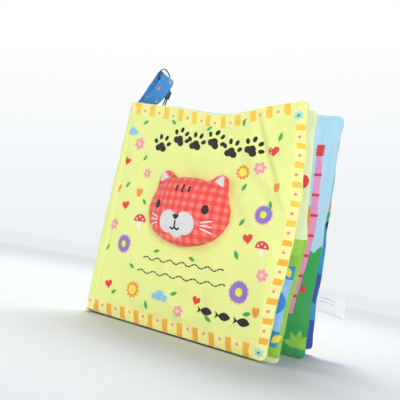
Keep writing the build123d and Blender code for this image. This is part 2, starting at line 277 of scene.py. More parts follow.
def cover_cotton(name, width):
    """Printed cotton of a cover: lemon, with a striped border on the fore edge, head and foot."""
    border, fore_border = 12.2, 7.8
    bar_pitch, fore_pitch = 16.4, 14.76
    first_bar, first_fore_bar = 8.9, 177.4
    material, tree = new_material(name)
    paint = colours()
    place, x, y = cloth_millimetres(tree)
    wx, wy = hand_cut(tree, place, x, y)
    from_head = add(tree, "Math", LEAF_HEIGHT, wy, operation="SUBTRACT")
    edge = add(tree, "Math", wy, from_head, operation="MINIMUM")
    fore = add(tree, "Math", width, wx, operation="SUBTRACT")
    upper = area(tree, (wy, LEAF_HEIGHT / 2, None))
    band = either(tree, area(tree, (edge, None, border)), area(tree, (fore, None, fore_border)))

    # The bars lean at the head, where the cloth is drawn towards the middle of the cover.
    slant = add(tree, "Math", add(tree, "Math", edge, -6.0, operation="ADD"), upper, operation="MULTIPLY")
    gather = both(tree, wave(tree, wx, pi / 152), upper)
    gather = add(tree, "Math", gather, 0.0, operation="MAXIMUM")
    straight = total(tree, (wx, 1.0), (slant, -0.27), (gather, -4.8))
    margin = total(tree, (edge, 1.0), (1.0, 0.8), (upper, -0.8))
    across = from_step(tree, straight, first_bar, bar_pitch)
    down = from_step(tree, wy, first_fore_bar, fore_pitch)
    bars = either(
        tree,
        area(tree, (across, -2.8, 2.8), (margin, 1.1, 12.3), (fore, 10.4, None)),
        area(tree, (down, -2.3, 2.3), (fore, 0.4, 6.9), (wy, 9.0, 187.0)),
    )
    # The bars are yellower on the upper half of the cover, and a deeper orange in random spots of wear.
    wear = add(tree, "MapRange", add(tree, "TexNoise", place, 0.25, 2.0), 0.35, 0.75, 0.0, 0.5)
    bar_ink = printed(tree, paint.bar, (upper, linear("#FCD44C")), (wear, linear("#F7B43C")))

    # A small flower lies between every two bars, and a larger one in both corners at the fore edge.
    between = from_step(tree, straight, first_bar + bar_pitch / 2, bar_pitch)
    beside = from_step(tree, wy, first_fore_bar + fore_pitch / 2, fore_pitch)
    row = bloom(tree, between, add(tree, "Math", edge, -8.2, operation="ADD"), 1.55, 5)
    column = bloom(tree, beside, add(tree, "Math", fore, -4.3, operation="ADD"), 1.5, 5)
    row = both(tree, row, area(tree, (fore, 14.0, None)))
    column = both(tree, column, area(tree, (wy, 12.0, 180.0)))
    corner_across = add(tree, "Math", fore, -6.2, operation="ADD")
    corner_along = total(tree, (edge, 1.0), (1.0, -6.0), (upper, -7.2))
    colour = printed(
        tree,
        paint.lemon,
        (add(tree, "TexNoise", place, 0.02, 1.0), linear("#EAF194")),
        (band, paint.border),
        (bars, bar_ink),
        (either(tree, row, column), linear("#EE8490")),
        (bloom(tree, corner_across, corner_along, 3.9, 6), linear("#9FDDDC")),
        (dot(tree, corner_across, corner_along, 1.0), linear("#2F8F8A")),
    )
    finish_cotton(tree, place, x, y, colour, billow=5.0)
    return material


def meadow_cotton(name):
    """Printed cotton of the first page: a pale field, a lime field and a pond in a teal frame."""
    material, tree = new_material(name)
    paint = colours()
    place, x, y = cloth_millimetres(tree)
    wx, wy = hand_cut(tree, place, x, y)
    pond_left, pond_right = 40.0, 191.6
    ripple = from_step(tree, wx, 182.0, 26.0)
    blobs = dot(tree, ripple, add(tree, "Math", wy, -46.0, operation="ADD"), 9.3)
    colour = printed(
        tree,
        paint.hem,
        (area(tree, (wy, None, 96.5)), paint.lime),
        (area(tree, (wy, 84.0, 96.5)), linear("#A9D65A")),
        (area(tree, (wx, pond_left, pond_right), (wy, 13.2, 75.5)), paint.teal),
        (area(tree, (wx, pond_left, pond_right), (wy, 25.0, 65.0)), linear("#9CCBE8")),
        (both(tree, blobs, area(tree, (wx, pond_left, pond_right))), paint.pond),
        (area(tree, (wx, 192.2, None), (wy, None, 97.0)), paint.lime),
        (area(tree, (wy, None, 2.2)), paint.lime),
        (area(tree, (wx, 172.0, None), (wy, None, 5.0)), paint.hem),
    )
    finish_cotton(tree, place, x, y, colour)
    return material


def hill_cotton(name, horizon=87.0, ground=None, tufts=6.0, tuft_pitch=5.0):
    """Printed cotton of a landscape page: sky over a hill with a tufted edge, and a darker foot."""
    material, tree = new_material(name)
    paint = colours()
    place, x, y = cloth_millimetres(tree)
    wx, wy = hand_cut(tree, place, x, y, 1.2)
    zigzag = add(tree, "Math", wx, tuft_pitch, operation="PINGPONG")
    line = total(tree, (wy, 1.0), (wave(tree, wx, 0.034), -7.0), (zigzag, -tufts / tuft_pitch))
    low_line = total(tree, (wy, 1.0), (wave(tree, wx, 0.05, "COSINE"), 4.0))
    colour = printed(
        tree,
        paint.sky,
        (add(tree, "TexNoise", place, 0.018, 1.0), linear("#B6DCEB")),
        (area(tree, (line, None, horizon - 4)), ground or paint.grass),
        (area(tree, (low_line, None, 22.0)), linear("#3A9C58")),
    )
    finish_cotton(tree, place, x, y, colour)
    return material


def night_cotton(name):
    """Printed cotton of the last spread: mid-blue and navy waves with a few bright specks above."""
    material, tree = new_material(name)
    paint = colours()
    place, x, y = cloth_millimetres(tree)
    wx, wy = hand_cut(tree, place, x, y, 1.2)
    lift = total(tree, (wy, 1.0), (wave(tree, wx, 0.055), -9.0))
    colour = printed(
        tree,
        linear("#8FC8E6"),
        (area(tree, (lift, None, 128.0)), paint.teal),
        (area(tree, (lift, 84.0, 104.0)), paint.pond),
        (area(tree, (lift, 52.0, 78.0)), paint.navy),
        (area(tree, (lift, 10.0, 36.0)), paint.navy),
        (area(tree, (lift, None, 10.0)), paint.pond),
    )
    finish_cotton(tree, place, x, y, colour)
    return material


def plain_cotton(name, colour, pucker=0.1):
    """Printed cotton of one ink: the dye sits in the threads, so the weave shows through it."""
    material, tree = new_material(name)
    place, x, y = cloth_millimetres(tree)
    tint = add(tree, "HueSaturation", 0.5, 1.0, 0.94, 1.0, colour)
    dyed = printed(tree, colour, (add(tree, "TexNoise", place, 0.35, 2.0), tint))
    finish_cotton(tree, place, x, y, dyed, pucker=pucker)
    return material


def printed_cotton(ink):
    """The cotton of one ink, made when it is first needed."""
    name = "printed_cotton_" + ink
    return bpy.data.materials.get(name) or plain_cotton(name, tuple(getattr(colours(), ink)))


def gingham_cotton(name):
    """Yarn-dyed gingham: two sets of coral bands, deepest where they cross, with single yarns showing."""
    material, tree = new_material(name)
    place, x, y = cloth_millimetres(tree)
    rate = pi * MM / sizes().check
    bands = [add(tree, "MapRange", wave(tree, axis, rate), -0.35, 0.35, 0.0, 1.0) for axis in (x, y)]
    count = add(tree, "Math", *bands, operation="ADD")
    deep = add(tree, "Math", count, -1.0, operation="ADD", use_clamp=True)
    yarns = []
    for stretch in ((0.35, 2.4, 1.0), (2.4, 0.35, 1.0)):
        drawn = add(tree, "VectorMath", place, stretch, operation="MULTIPLY")
        yarns.append(add(tree, "TexNoise", drawn, 0.8, 2.0))
    slub = add(tree, "MapRange", add(tree, "Math", *yarns, operation="MULTIPLY"), 0.16, 0.36, 0.0, 0.3)
    colour = printed(
        tree,
        linear("#FC827B"),
        (count, linear("#F3544B")),
        (deep, colours().coral),
        (slub, linear("#FB857E")),
    )
    finish_cotton(tree, place, x, y, colour, pucker=0.14, thread_depth=0.05, rough=0.88)
    return material


def felt(name, colour):
    """Wool felt: matted short fibres, soft and matt with no weave."""
    material, tree = new_material(name)
    place, _, _ = cloth_millimetres(tree)
    fibres = add(tree, "TexNoise", place, 1.6, 4.0, 0.7)
    mottle = add(tree, "MapRange", fibres, 0.3, 0.7, 0.94, 1.02)
    shade = add(tree, "VectorMath", colour[:3], mottle, operation="SCALE")
    bump = add(tree, "Bump", 0.6, MM, 1.0, add(tree, "Math", fibres, 0.15, operation="MULTIPLY"))
    close_material(tree, bump, shade, Roughness=0.95, Sheen_Weight=0.25, Sheen_Roughness=0.6)
    return material


def embroidery(name, colour, thread=0.6):
    """Satin stitch in rayon thread: close parallel threads with a soft gloss along them."""
    material, tree = new_material(name)
    _, _, y = cloth_millimetres(tree)
    threads = wave(tree, y, 2 * pi / thread)
    bump = add(tree, "Bump", 0.7, MM, 1.0, add(tree, "Math", threads, 0.06, operation="MULTIPLY"))
    # The colour is painted lighter on each thread and darker between the threads, as painted highlight and
    # painted shade.
    tone = add(tree, "MapRange", threads, -1.0, 1.0, 0.8, 1.15)
    shade = add(tree, "VectorMath", colour[:3], tone, operation="SCALE")
    close_material(tree, bump, shade, Roughness=0.6, Specular_IOR_Level=0.35, Anisotropic=0.4)
    return material


def ribbon_satin(name, colour, rib=0.9):
    """Woven grosgrain ribbon: fine ribs across its width, firm selvedges, small flowers and a soft gloss."""
    flower_pitch = 23.0
    material, tree = new_material(name)
    place, x, y = cloth_millimetres(tree)
    selvedge = add(tree, "MapRange", add(tree, "Math", y, operation="ABSOLUTE"), 6.7, 7.6, 0.0, 1.0)
    height = total(tree, (wave(tree, x, 2 * pi / rib), 0.05), (selvedge, 0.12))
    bump = add(tree, "Bump", 0.7, MM, 1.0, height)
    for first, shift in ((3.0, 3.4), (14.5, -3.8)):
        along = from_step(tree, x, first, flower_pitch)
        aside = add(tree, "Math", y, shift, operation="ADD")
        colour = printed(
            tree,
            colour,
            (bloom(tree, along, aside, 2.2, 5), linear("#F07FA8")),
            (dot(tree, along, aside, 0.7), linear("#F7DC58")),
        )
    uneven = add(tree, "MapRange", add(tree, "TexNoise", place, 0.5, 2.0), 0.3, 0.7, 0.93, 1.05)
    tone = total(tree, (uneven, 1.0), (selvedge, -0.1))
    shade = add(tree, "VectorMath", colour, tone, operation="SCALE")
    close_material(tree, bump, shade, Roughness=0.42, Sheen_Weight=0.2, Sheen_Roughness=0.4)
    return material


def label_satin(name, rib=0.7):
    """White polyester satin of a care label: smooth, with two faint grey bars."""
    material, tree = new_material(name)
    place, x, y = cloth_millimetres(tree)
    broken = area(tree, (add(tree, "TexNoise", place, 0.9, 1.0), 0.42, None))
    rows = either(tree, area(tree, (y, 12.0, 12.8)), area(tree, (y, 8.6, 9.4)))
    bars = both(tree, rows, area(tree, (x, 4.6, 18.0)), broken)
    colour = printed(tree, linear("#FFFFFF"), (bars, linear("#C8CACC")))
    ribs = wave(tree, y, 2 * pi / rib)
    bump = add(tree, "Bump", 0.4, MM, 1.0, add(tree, "Math", ribs, 0.02, operation="MULTIPLY"))
    thin = dict(Subsurface_Weight=0.6, Subsurface_Scale=0.002, Subsurface_Radius=(1.0, 1.0, 1.0))
    close_material(tree, bump, colour, Roughness=0.38, Sheen_Weight=0.1, **thin)
    return material


def braided_cord(name, colour, pitch=1.6):
    """Waxed polyester cord: a tight braid that runs round it, dark with a dull shine."""
    material, tree = new_material(name)
    place = add(tree, "VectorMath", add(tree, "TexCoord", out=3), (1 / MM,) * 3, operation="MULTIPLY")
    braid = add(tree, "TexWave", place, 1.0 / pitch, 0.6, 1.0, bands_direction="DIAGONAL", out=1)
    bump = add(tree, "Bump", 0.8, MM, 1.0, add(tree, "Math", braid, 0.12, operation="MULTIPLY"))
    # The colour is painted lighter on the braid's ridges and darker in its grooves, as painted highlight and
    # painted shade.
    tone = add(tree, "MapRange", braid, 0.0, 1.0, 0.6, 1.6)
    shade = add(tree, "VectorMath", colour[:3], tone, operation="SCALE")
    close_material(tree, bump, shade, Roughness=0.5)
    return material


def moulded_plastic(name, colour):
    """Injection-moulded ABS: hard and glossy, with a very slight unevenness and dull scuffs."""
    material, tree = new_material(name)
    uneven = add(tree, "TexNoise", add(tree, "TexCoord", out=3), 900.0, 2.0)
    bump = add(tree, "Bump", 0.3, MM, 1.0, add(tree, "Math", uneven, 0.05, operation="MULTIPLY"))
    scuffed = printed(tree, colour, (uneven, linear("#24201F")))
    close_material(tree, bump, scuffed, Roughness=0.32)
    return material


def mesh_of(bm, name):
    """Makes a mesh of a bmesh, and frees the bmesh."""
    mesh = bpy.data.meshes.new(name)
    bm.to_mesh(mesh)
    bm.free()
    return mesh


def new_piece(name, data):
    """An object that holds a mesh, a curve, a lamp or a lens, linked into the scene."""
    piece = bpy.data.objects.new(name, data)
    bpy.context.scene.collection.objects.link(piece)
    return piece


def smooth_through(knots, x):
    """A smooth height through a few places, for a sagging edge."""
    xs, ys = [k[0] for k in knots], [k[1] for k in knots]
    slopes = [(ys[1] - ys[0]) / (xs[1] - xs[0])]
    for i in range(1, len(xs) - 1):
        slopes.append((ys[i + 1] - ys[i - 1]) / (xs[i + 1] - xs[i - 1]))
    slopes.append((ys[-1] - ys[-2]) / (xs[-1] - xs[-2]))
    x = min(max(x, xs[0]), xs[-1])
    i = max(n for n in range(len(xs) - 1) if xs[n] <= x)
    span = xs[i + 1] - xs[i]
    f = (x - xs[i]) / span
    return (
        (2 * f**3 - 3 * f**2 + 1) * ys[i]
        + (f**3 - 2 * f**2 + f) * span * slopes[i]
        + (3 * f**2 - 2 * f**3) * ys[i + 1]
        + (f**3 - f**2) * span * slopes[i + 1]
    )


def smooth_path(points, count):
    """Points along a smooth line through a few places, evenly spaced."""
    knots = [points[0] * 2 - points[1], *points, points[-1] * 2 - points[-2]]
    dense, steps = [], 24
    for a, b, c, d in zip(knots, knots[1:], knots[2:], knots[3:]):
        for i in range(steps):
            f = i / steps
            start = b * 2 + (c - a) * f
            bend = (a * 2 - b * 5 + c * 4 - d) * f**2 + (b * 3 - a - c * 3 + d) * f**3
            dense.append((start + bend) / 2)
    dense.append(points[-1].copy())
    runs = [0.0]
    for a, b in zip(dense, dense[1:]):
        runs.append(runs[-1] + (b - a).length)
    even = []
    for i in range(count + 1):
        goal = runs[-1] * i / count
        k = min(len(dense) - 2, max(n for n in range(len(runs)) if runs[n] <= goal + 1e-9))
        f = (goal - runs[k]) / max(1e-9, runs[k + 1] - runs[k])
        even.append(dense[k].lerp(dense[k + 1], f))
    return even


def shares(count):
    """The shares of a length that a count of even steps gives."""
    return [i / count for i in range(count + 1)]


def path_point(path, u, up=Vector((0, 0, 1))):
    """The place at a share of a path, and the direction across it."""
    i = min(len(path) - 1, max(0, round(u * (len(path) - 1))))
    run = path[min(len(path) - 1, i + 1)] - path[max(0, i - 1)]
    return path[i], run.normalized().cross(up)


NARROWING = 0.32  # Share of its width that the spine loses where it is drawn in most.


def pinched(z):
    """How much the seam at the head draws the spine in at a height, from 0 to 1."""
    f = min(1.0, max(0.0, (z - 60.0) / 139.0))
    return f * f * (3 - 2 * f)


class Leaf:
    """One leaf of the book: s runs along it from its foot, t is up, h is towards the front cover's side."""

    fore_radius, spine_radius = 6.5, 3.5
    fore_roll, spine_roll = 8.0, 3.2
    pucker_rise, pucker_pitch, pucker_reach = 0.28, 9.3, 4.5

    def __init__(
        self, foot, angle, width, low, spine_top, fore_top, sag, half, fore, folds=(), peek=0.0, lean=0.0
    ):
        """Lengths in millimetres: fore is how far the fore edge stands out at shares of the height, a fold
        runs between two places with a width and a rise, peek is how far the back cloth shows over the head
        seam, and lean is how far the top of the spine edge moves along the leaf."""
        self.foot = Vector((foot[0], foot[1], 0))
        self.along = Vector((cos(radians(angle)), sin(radians(angle)), 0))
        self.out = self.along.cross(Vector((0, 0, 1)))
        self.width, self.low, self.half, self.folds = width, low, half, folds
        self.fore, self.peek, self.lean = fore, peek, lean
        middle = (spine_top + fore_top) / 2
        self.head = (
            (0, spine_top),
            (0.30 * width, spine_top - 0.45 * sag),
            (0.60 * width, middle - sag),
            (0.80 * width, fore_top - 0.45 * sag),
            (width, fore_top),
        )

    def point(self, s, t, h):
        """A place on the leaf, in metres."""
        return (self.foot + self.along * s + Vector((0, 0, t)) + self.out * h) * MM

    def lay(self, s, t):
        """Where a point of the flat cut lies in the standing leaf, how far it is from the sewn edge, and over
        how much cloth the leaf rounds off there."""
        v = t / LEAF_HEIGHT
        width = self.width + smooth_through(self.fore, v)
        width += 0.5 * sin(2 * pi * (2.6 * v + 0.13 * self.half)) + 0.3 * sin(2 * pi * (6.1 * v + 0.4))
        near = self.lean * v * v
        x = near + s * (width - near) / self.width
        top = smooth_through(self.head, x)
        z = self.low + v * (top - self.low)
        fore = width - x < x
        side = width - x if fore else x - near
        end = min(z - self.low, top - z)
        r = self.fore_radius if fore else self.spine_radius
        if side < r and end < r:
            p, q = 1 - side / r, 1 - end / r
            across, up = r * (1 - p * sqrt(1 - q * q / 2)), r * (1 - q * sqrt(1 - p * p / 2))
            x = width - across if fore else near + across
            z = self.low + up if v < 0.5 else top - up
            edge = max(0.0, r - hypot(r - across, r - up))
        else:
            edge = min(side, end)
        roll = self.fore_roll if fore or end < side else self.spine_roll
        return x, z, edge, roll

    def swell(self, s, t, edge, roll):
        """How far the cloth stands from the leaf's middle."""
        size = sizes()
        seam = size.seam_half / MM
        rise = sqrt(max(0.0, 1 - max(0.0, 1 - edge / roll) ** 2))
        body = seam + (self.half - seam) * rise
        crown = size.crown / MM * sin(pi * min(1, max(0, s / self.width))) * sin(pi * t / LEAF_HEIGHT)
        beside = t if min(self.width - s, s) < min(t, LEAF_HEIGHT - t) else s
        pucker = sin(2 * pi * beside / self.pucker_pitch + 2.1 * sin(beside / 17))
        pucker *= self.pucker_rise * exp(-edge / self.pucker_reach)
        return body + (crown + pucker) * rise

    def fold(self, s, t):
        """Height of the soft creases at a place on the leaf, which run from one place to another."""
        height = 0.0
        for fs, ft, gs, gt, width, rise in self.folds:
            run = Vector((gs - fs, gt - ft))
            f = ((s - fs) * run.x + (t - ft) * run.y) / run.length_squared
            f = min(1.0, max(0.0, f))
            away = hypot(s - fs - f * run.x, t - ft - f * run.y) / width
            if away < 3:
                ends = sin(pi * min(0.98, max(0.02, f * 0.9 + 0.05))) ** 0.6
                height += rise * exp(-(away**1.4)) * ends
        inside = min(s, self.width - s, t - self.low, smooth_through(self.head, s) - t)
        return height * min(1.0, max(0.0, (inside - 1.0) / 7.0))


def spaced(length, step, near=(0, 0.8, 1.8, 3.0, 4.6, 6.6, 9.0)):
    """Places along a side, closer together near both ends."""
    inner = length - 2 * near[-1]
    count = max(1, round(inner / step))
    middle = [near[-1] + inner * i / count for i in range(1, count)]
    return list(near) + middle + [length - x for x in reversed(near)]


def sewn_blank(name, us, vs, place, cloth_place, materials, seam_back=None):
    """A closed piece of doubled cloth: a grid, extruded to its other face, each point put in its place."""
    bm = bmesh.new()
    columns, rows = len(us) - 1, len(vs) - 1
    bmesh.ops.create_grid(bm, x_segments=columns, y_segments=rows, size=0.5)
    cut = bm.verts.layers.float_vector.new("cut")
    for vert in bm.verts:
        column, row = round((vert.co.x + 0.5) * columns), round((vert.co.y + 0.5) * rows)
        vert[cut] = Vector((us[column], vs[row], 0))
    made = bmesh.ops.extrude_face_region(bm, geom=bm.faces[:], use_keep_orig=True)
    front = {item for item in made["geom"] if isinstance(item, bmesh.types.BMVert)}
    for vert in bm.verts:
        vert.co = place(vert[cut].x, vert[cut].y, 1 if vert in front else -1)
    bm.normal_update()
    bmesh.ops.recalc_face_normals(bm, faces=bm.faces)
    chart = bm.loops.layers.uv.new("cloth")
    for face in bm.faces:
        backs = sum(vert not in front for vert in face.verts)
        middle = face.verts[0][cut] + face.verts[2][cut]
        behind = backs == len(face.verts) or (backs and seam_back and seam_back(middle.x / 2, middle.y / 2))
        face.material_index = 1 if behind and len(materials) > 1 else 0
        face.smooth = True
        for loop in face.loops:
            place_on_cloth = cloth_place(loop.vert[cut].x, loop.vert[cut].y)
            loop[chart].uv = [value / PRINT_UNIT for value in place_on_cloth]
    mesh = mesh_of(bm, name)
    for material in materials:
        mesh.materials.append(material)
    return new_piece(name, mesh)


def coordinates(mesh):
    """A mesh's points as rows of an array."""
    values = np.empty(len(mesh.vertices) * 3)
    mesh.vertices.foreach_get("co", values)
    return values.reshape(-1, 3)


def stuff(piece, pins, swell, spare, frames=20):
    """Inflates a piece as wadding does, holds its seams, and lets no point move further than the swell."""
    mesh = piece.data
    start = coordinates(mesh)
    piece.vertex_groups.new(name="seams").add(pins, 1.0, "REPLACE")
    wadding = piece.modifiers.new("wadding", "CLOTH")
    cloth = wadding.settings
    cloth.quality = 5
    cloth.mass = 0.3
    cloth.tension_stiffness = cloth.compression_stiffness = 12
    cloth.shear_stiffness = 4
    cloth.bending_stiffness = 0.3
    cloth.vertex_group_mass = "seams"
    cloth.use_pressure = True
    cloth.uniform_pressure_force = sizes().pressure
    cloth.shrink_min = -spare
    cloth.effector_weights.gravity = 0
    wadding.collision_settings.use_collision = False
    scene = bpy.context.scene
    for number in range(1, frames + 1):
        scene.frame_set(number)
    graph = bpy.context.evaluated_depsgraph_get()
    moved = coordinates(piece.evaluated_get(graph).data)
    scene.frame_set(1)
    piece.modifiers.remove(wadding)
    piece.vertex_groups.clear()
    shift = moved - start
    far = np.linalg.norm(shift, axis=1, keepdims=True) + 1e-9
    limited = start + shift * (swell * np.tanh(far / swell) / far)
    mesh.vertices.foreach_set("co", limited.ravel())
    mesh.update()


def keep_modifiers(piece):
    """Keeps what a piece's modifiers make of its mesh, under the mesh's own name."""
    graph = bpy.context.evaluated_depsgraph_get()
    mesh = bpy.data.meshes.new_from_object(piece.evaluated_get(graph))
    piece.modifiers.clear()
    old, name = piece.data, piece.data.name
    piece.data = mesh
    bpy.data.meshes.remove(old)
    mesh.name = name


def subdivide(piece):
    """Rounds the cloth's facets and keeps the result in the mesh."""
    rounding = piece.modifiers.new("rounding", "SUBSURF")
    rounding.levels = rounding.render_levels = 1
    rounding.uv_smooth = "PRESERVE_BOUNDARIES"
    keep_modifiers(piece)


def surface_of(*pieces):
    """The faces of some pieces, to lay others on."""
    places, faces = [], []
    for piece in pieces:
        first = len(places)
        places += [vert.co.copy() for vert in piece.data.vertices]
        faces += [[first + index for index in face.vertices] for face in piece.data.polygons]
    return BVHTree.FromPolygons(places, faces)


def make_leaf(name, leaf, materials, step=3.2):
    """A wadded leaf: sewn blank, stuffed and rounded."""

    def place(s, t, side):
        x, z, edge, roll = leaf.lay(s, t)
        if side < 0 and t > LEAF_HEIGHT / 2:
            z += leaf.peek * exp(-edge / 1.5) * sin(pi * min(1, max(0, (s - 30) / 130))) ** 0.5
        return leaf.point(x, z, side * leaf.swell(s, t, edge, roll))

    us, vs = spaced(leaf.width, step), spaced(LEAF_HEIGHT, step)
    seam_back = (lambda s, t: t > LEAF_HEIGHT - 0.5) if leaf.peek else None
    piece = sewn_blank(name, us, vs, place, lambda s, t: (s, t), materials, seam_back)
    pins = []
    for vert in piece.data.vertices:
        local = Vector(vert.co) / MM - leaf.foot
        if abs(local.dot(leaf.out)) < sizes().seam_half / MM + 0.02:
            pins.append(vert.index)
    stuff(piece, pins, sizes().swell, sizes().spare)
    subdivide(piece)
    for vert in piece.data.vertices:
        local = vert.co / MM - leaf.foot
        front = local.dot(leaf.out) > 0
        vert.co += leaf.out * leaf.fold(local.dot(leaf.along), local.z) * MM * (1 if front else 0.25)
    return piece


FRONT_COVER = Leaf(
    foot=(0, -13),
    angle=-13.0,
    width=190.0,
    low=1.4,
    spine_top=202.5,
    fore_top=204.2,
    sag=12.5,
    half=3.25,
    fore=(
        *((0, -0.8), (0.25, 1.1), (0.4, 4.4), (0.5, 5.7)),
        *((0.6, 5.9), (0.69, 3.6), (0.78, 3.0), (0.9, -0.2), (1, -2.4)),
    ),
    folds=(
        (147, 199, 188, 115, 3.6, 3.4),
        (141, 196, 181, 116, 4.0, -2.4),
        (140, 160, 187, 117, 3.8, 2.6),
        (134, 152, 178, 110, 4.4, -1.8),
        (128, 146, 146, 100, 5.0, -1.8),
        (140, 122, 178, 84, 4.5, 1.8),
        (60, 76, 88, 46, 5.0, 1.3),
        (20, 166, 52, 112, 6.0, -1.5),
        (94, 196, 112, 160, 4.5, 1.8),
        (100, 196, 118, 164, 4.5, -1.2),
        (178, 66, 187, 14, 4.0, 1.6),
        (14, 92, 46, 56, 5.0, 1.5),
        (66, 42, 124, 10, 5.0, 1.4),
        (148, 62, 174, 20, 5.0, -1.5),
        (174, 152, 190, 142, 3.0, 1.5),
    ),
    peek=1.5,
    lean=3.8,
)
BACK_COVER = Leaf(
    foot=(0, 13),
    angle=13.0,
    width=198.0,
    low=4.0,
    spine_top=204.0,
    fore_top=204.0,
    sag=3.0,
    half=3.25,
    fore=(
        *((0, 1.0), (0.13, -0.8), (0.26, -2.6), (0.39, -1.7)),
        *((0.57, -3.2), (0.7, -4.4), (0.85, -4.9), (1, -5.5)),
    ),
    folds=((150, 190, 188, 120, 6.0, 1.4), (30, 60, 90, 20, 9.0, 1.1), (60, 180, 100, 110, 8.0, -1.0)),
)
FRONT_PAGE = Leaf(
    foot=(2, -3.75),
    angle=-12.5,
    width=194.0,
    low=0.0,
    spine_top=197.5,
    fore_top=199.3,
    sag=3.0,
    half=3.0,
    fore=(
        *((0, -0.2), (0.07, 0.4), (0.27, 2.2), (0.42, 5.3), (0.5, 6.4)),
        *((0.58, 3.4), (0.66, 1.4), (0.8, -0.8), (1, -3.0)),
    ),
    folds=((120, 190, 180, 110, 8.0, 1.2), (30, 120, 90, 60, 10.0, 0.9), (186, 150, 190, 90, 3.0, 1.0)),
)
BACK_PAGE = Leaf(
    foot=(2, 3.75),
    angle=4.0,
    width=196.0,
    low=0.0,
    spine_top=200.0,
    fore_top=212.0,
    sag=3.0,
    half=3.0,
    fore=(
        *((0, -0.6), (0.13, -1.6), (0.29, -2.9), (0.44, -1.6)),
        *((0.6, -1.8), (0.75, -2.1), (0.87, -1.4), (1, -0.6)),
    ),
    folds=((181, 209, 184, 160, 2.0, 2.2), (188, 206, 186, 146, 2.6, -1.8), (60, 180, 130, 110, 10.0, 1.0)),
)


def turned(centre, x, y, turn):
    """A place beside a centre, turned about it."""
    return (centre[0] + x * cos(turn) - y * sin(turn), centre[1] + x * sin(turn) + y * cos(turn))


def outline_petals(centre, radius, petals, depth=0.38, turn=0.0):
    """A flower or a sun, with round petals or rays as deep as a share of its radius."""
    points = []
    for i in range(petals * 12):
        angle = 2 * pi * i / (petals * 12)
        reach = radius * (1 - depth + depth * abs(cos(petals * angle / 2)) ** 0.7)
        points.append((centre[0] + reach * cos(angle + turn), centre[1] + reach * sin(angle + turn)))
    return points


def outline_round(centre, width, height=None, turn=0.0, count=28):
    """A round, given by half its width and half its height."""
    height = height or width
    points = []
    for i in range(count):
        x, y = width * cos(2 * pi * i / count), height * sin(2 * pi * i / count)
        points.append(turned(centre, x, y, turn))
    return points


def outline_leaf(centre, length, width, turn):
    """A pointed leaf."""
    points = []
    count = 14
    for i in range(2 * count):
        f = i / count if i < count else 2 - i / count
        x = (f - 0.5) * length
        y = width / 2 * sin(pi * f) ** 0.8 * (1 if i < count else -1)
        points.append(turned(centre, x, y, turn))
    return points


def outline_heart(centre, radius, turn=0.0):
    """A heart."""
    points = []
    for i in range(36):
        a = 2 * pi * i / 36
        x = radius * sin(a) ** 3
        y = radius * (13 * cos(a) - 5 * cos(2 * a) - 2 * cos(3 * a) - cos(4 * a)) / 16
        points.append(turned(centre, x, y, turn))
    return points


def outline_joined(centre, rounds, size=1.0, count=64):
    """The outline of overlapping rounds, each (x, y, half width, half height) in sizes, round a centre."""
    rounds = [[value * size for value in part] for part in rounds]
    points = []
    for i in range(count):
        angle = 2 * pi * i / count
        ray = (cos(angle), sin(angle))
        reach = 0.0
        for x, y, a, b in rounds:
            px, py = x / a, y / b
            dx, dy = ray[0] / a, ray[1] / b
            half = (px * dx + py * dy) / (dx * dx + dy * dy)
            inside = half * half - (px * px + py * py - 1) / (dx * dx + dy * dy)
            if inside > 0:
                reach = max(reach, half + sqrt(inside))
        points.append((centre[0] + reach * ray[0], centre[1] + reach * ray[1]))
    return points


def outline_stroke(path, width):
    """The outline of a drawn line with round ends."""
    left, right = [], []
    for i, here in enumerate(path):
        before, after = path[max(0, i - 1)], path[min(len(path) - 1, i + 1)]
        angle = atan2(after[1] - before[1], after[0] - before[0])
        nx, ny = -sin(angle) * width / 2, cos(angle) * width / 2
        left.append((here[0] + nx, here[1] + ny))
        right.append((here[0] - nx, here[1] - ny))
    caps = []
    for end, near in ((path[-1], path[-2]), (path[0], path[1])):
        angle = atan2(end[1] - near[1], end[0] - near[0])
        caps.append([turned(end, width / 2, 0, angle + a) for a in (0.8, 0, -0.8)])
    return left + caps[0] + right[::-1] + caps[1]


def wave_path(start, end, rise, waves, count):
    """A wavy line between two places."""
    points = []
    for i in range(count + 1):
        f = i / count
        y = start[1] + (end[1] - start[1]) * f + rise * sin(2 * pi * waves * f)
        points.append((start[0] + (end[0] - start[0]) * f, y))
    return points


def shapes_mesh(outlines, fine, rim):
    """Flat shapes, each cut into faces small enough to follow a surface."""
    bm = bmesh.new()
    for outline in outlines:
        face = bm.faces.new([bm.verts.new((x, y, 0)) for x, y in outline])
        face.normal_update()
        if face.normal.z < 0:
            face.normal_flip()
    bm.normal_update()
    if rim:
        bmesh.ops.inset_region(bm, faces=bm.faces[:], thickness=rim, use_even_offset=True)
    bmesh.ops.triangulate(bm, faces=bm.faces[:])
    for _ in range(5):
        long_edges = [edge for edge in bm.edges if edge.calc_length() > fine]
        if not long_edges:
            break
        bmesh.ops.subdivide_edges(bm, edges=long_edges, cuts=1)
        bmesh.ops.triangulate(bm, faces=[face for face in bm.faces if len(face.verts) > 3])
    return bm


def strokes_mesh(paths, width, count=16):
    """Flat strokes, each a strip of small faces with a row of points along its middle."""
    bm = bmesh.new()
    for path in paths:
        line = smooth_path([Vector((x, y, 0)) for x, y in path], count)
        rows = []
        for i, here in enumerate(line):
            run = (line[min(count, i + 1)] - line[max(0, i - 1)]).normalized()
            taper = (0.35, 0.85, 1)[min(2, i, count - i)]
            across = Vector((-run.y, run.x, 0)) * width / 2 * taper
            rows.append([bm.verts.new(here + across * f) for f in (1, 0.45, -0.45, -1)])
        for before, after in zip(rows, rows[1:]):
            for i in range(3):
                bm.faces.new((before[i], before[i + 1], after[i + 1], after[i]))
    return bm


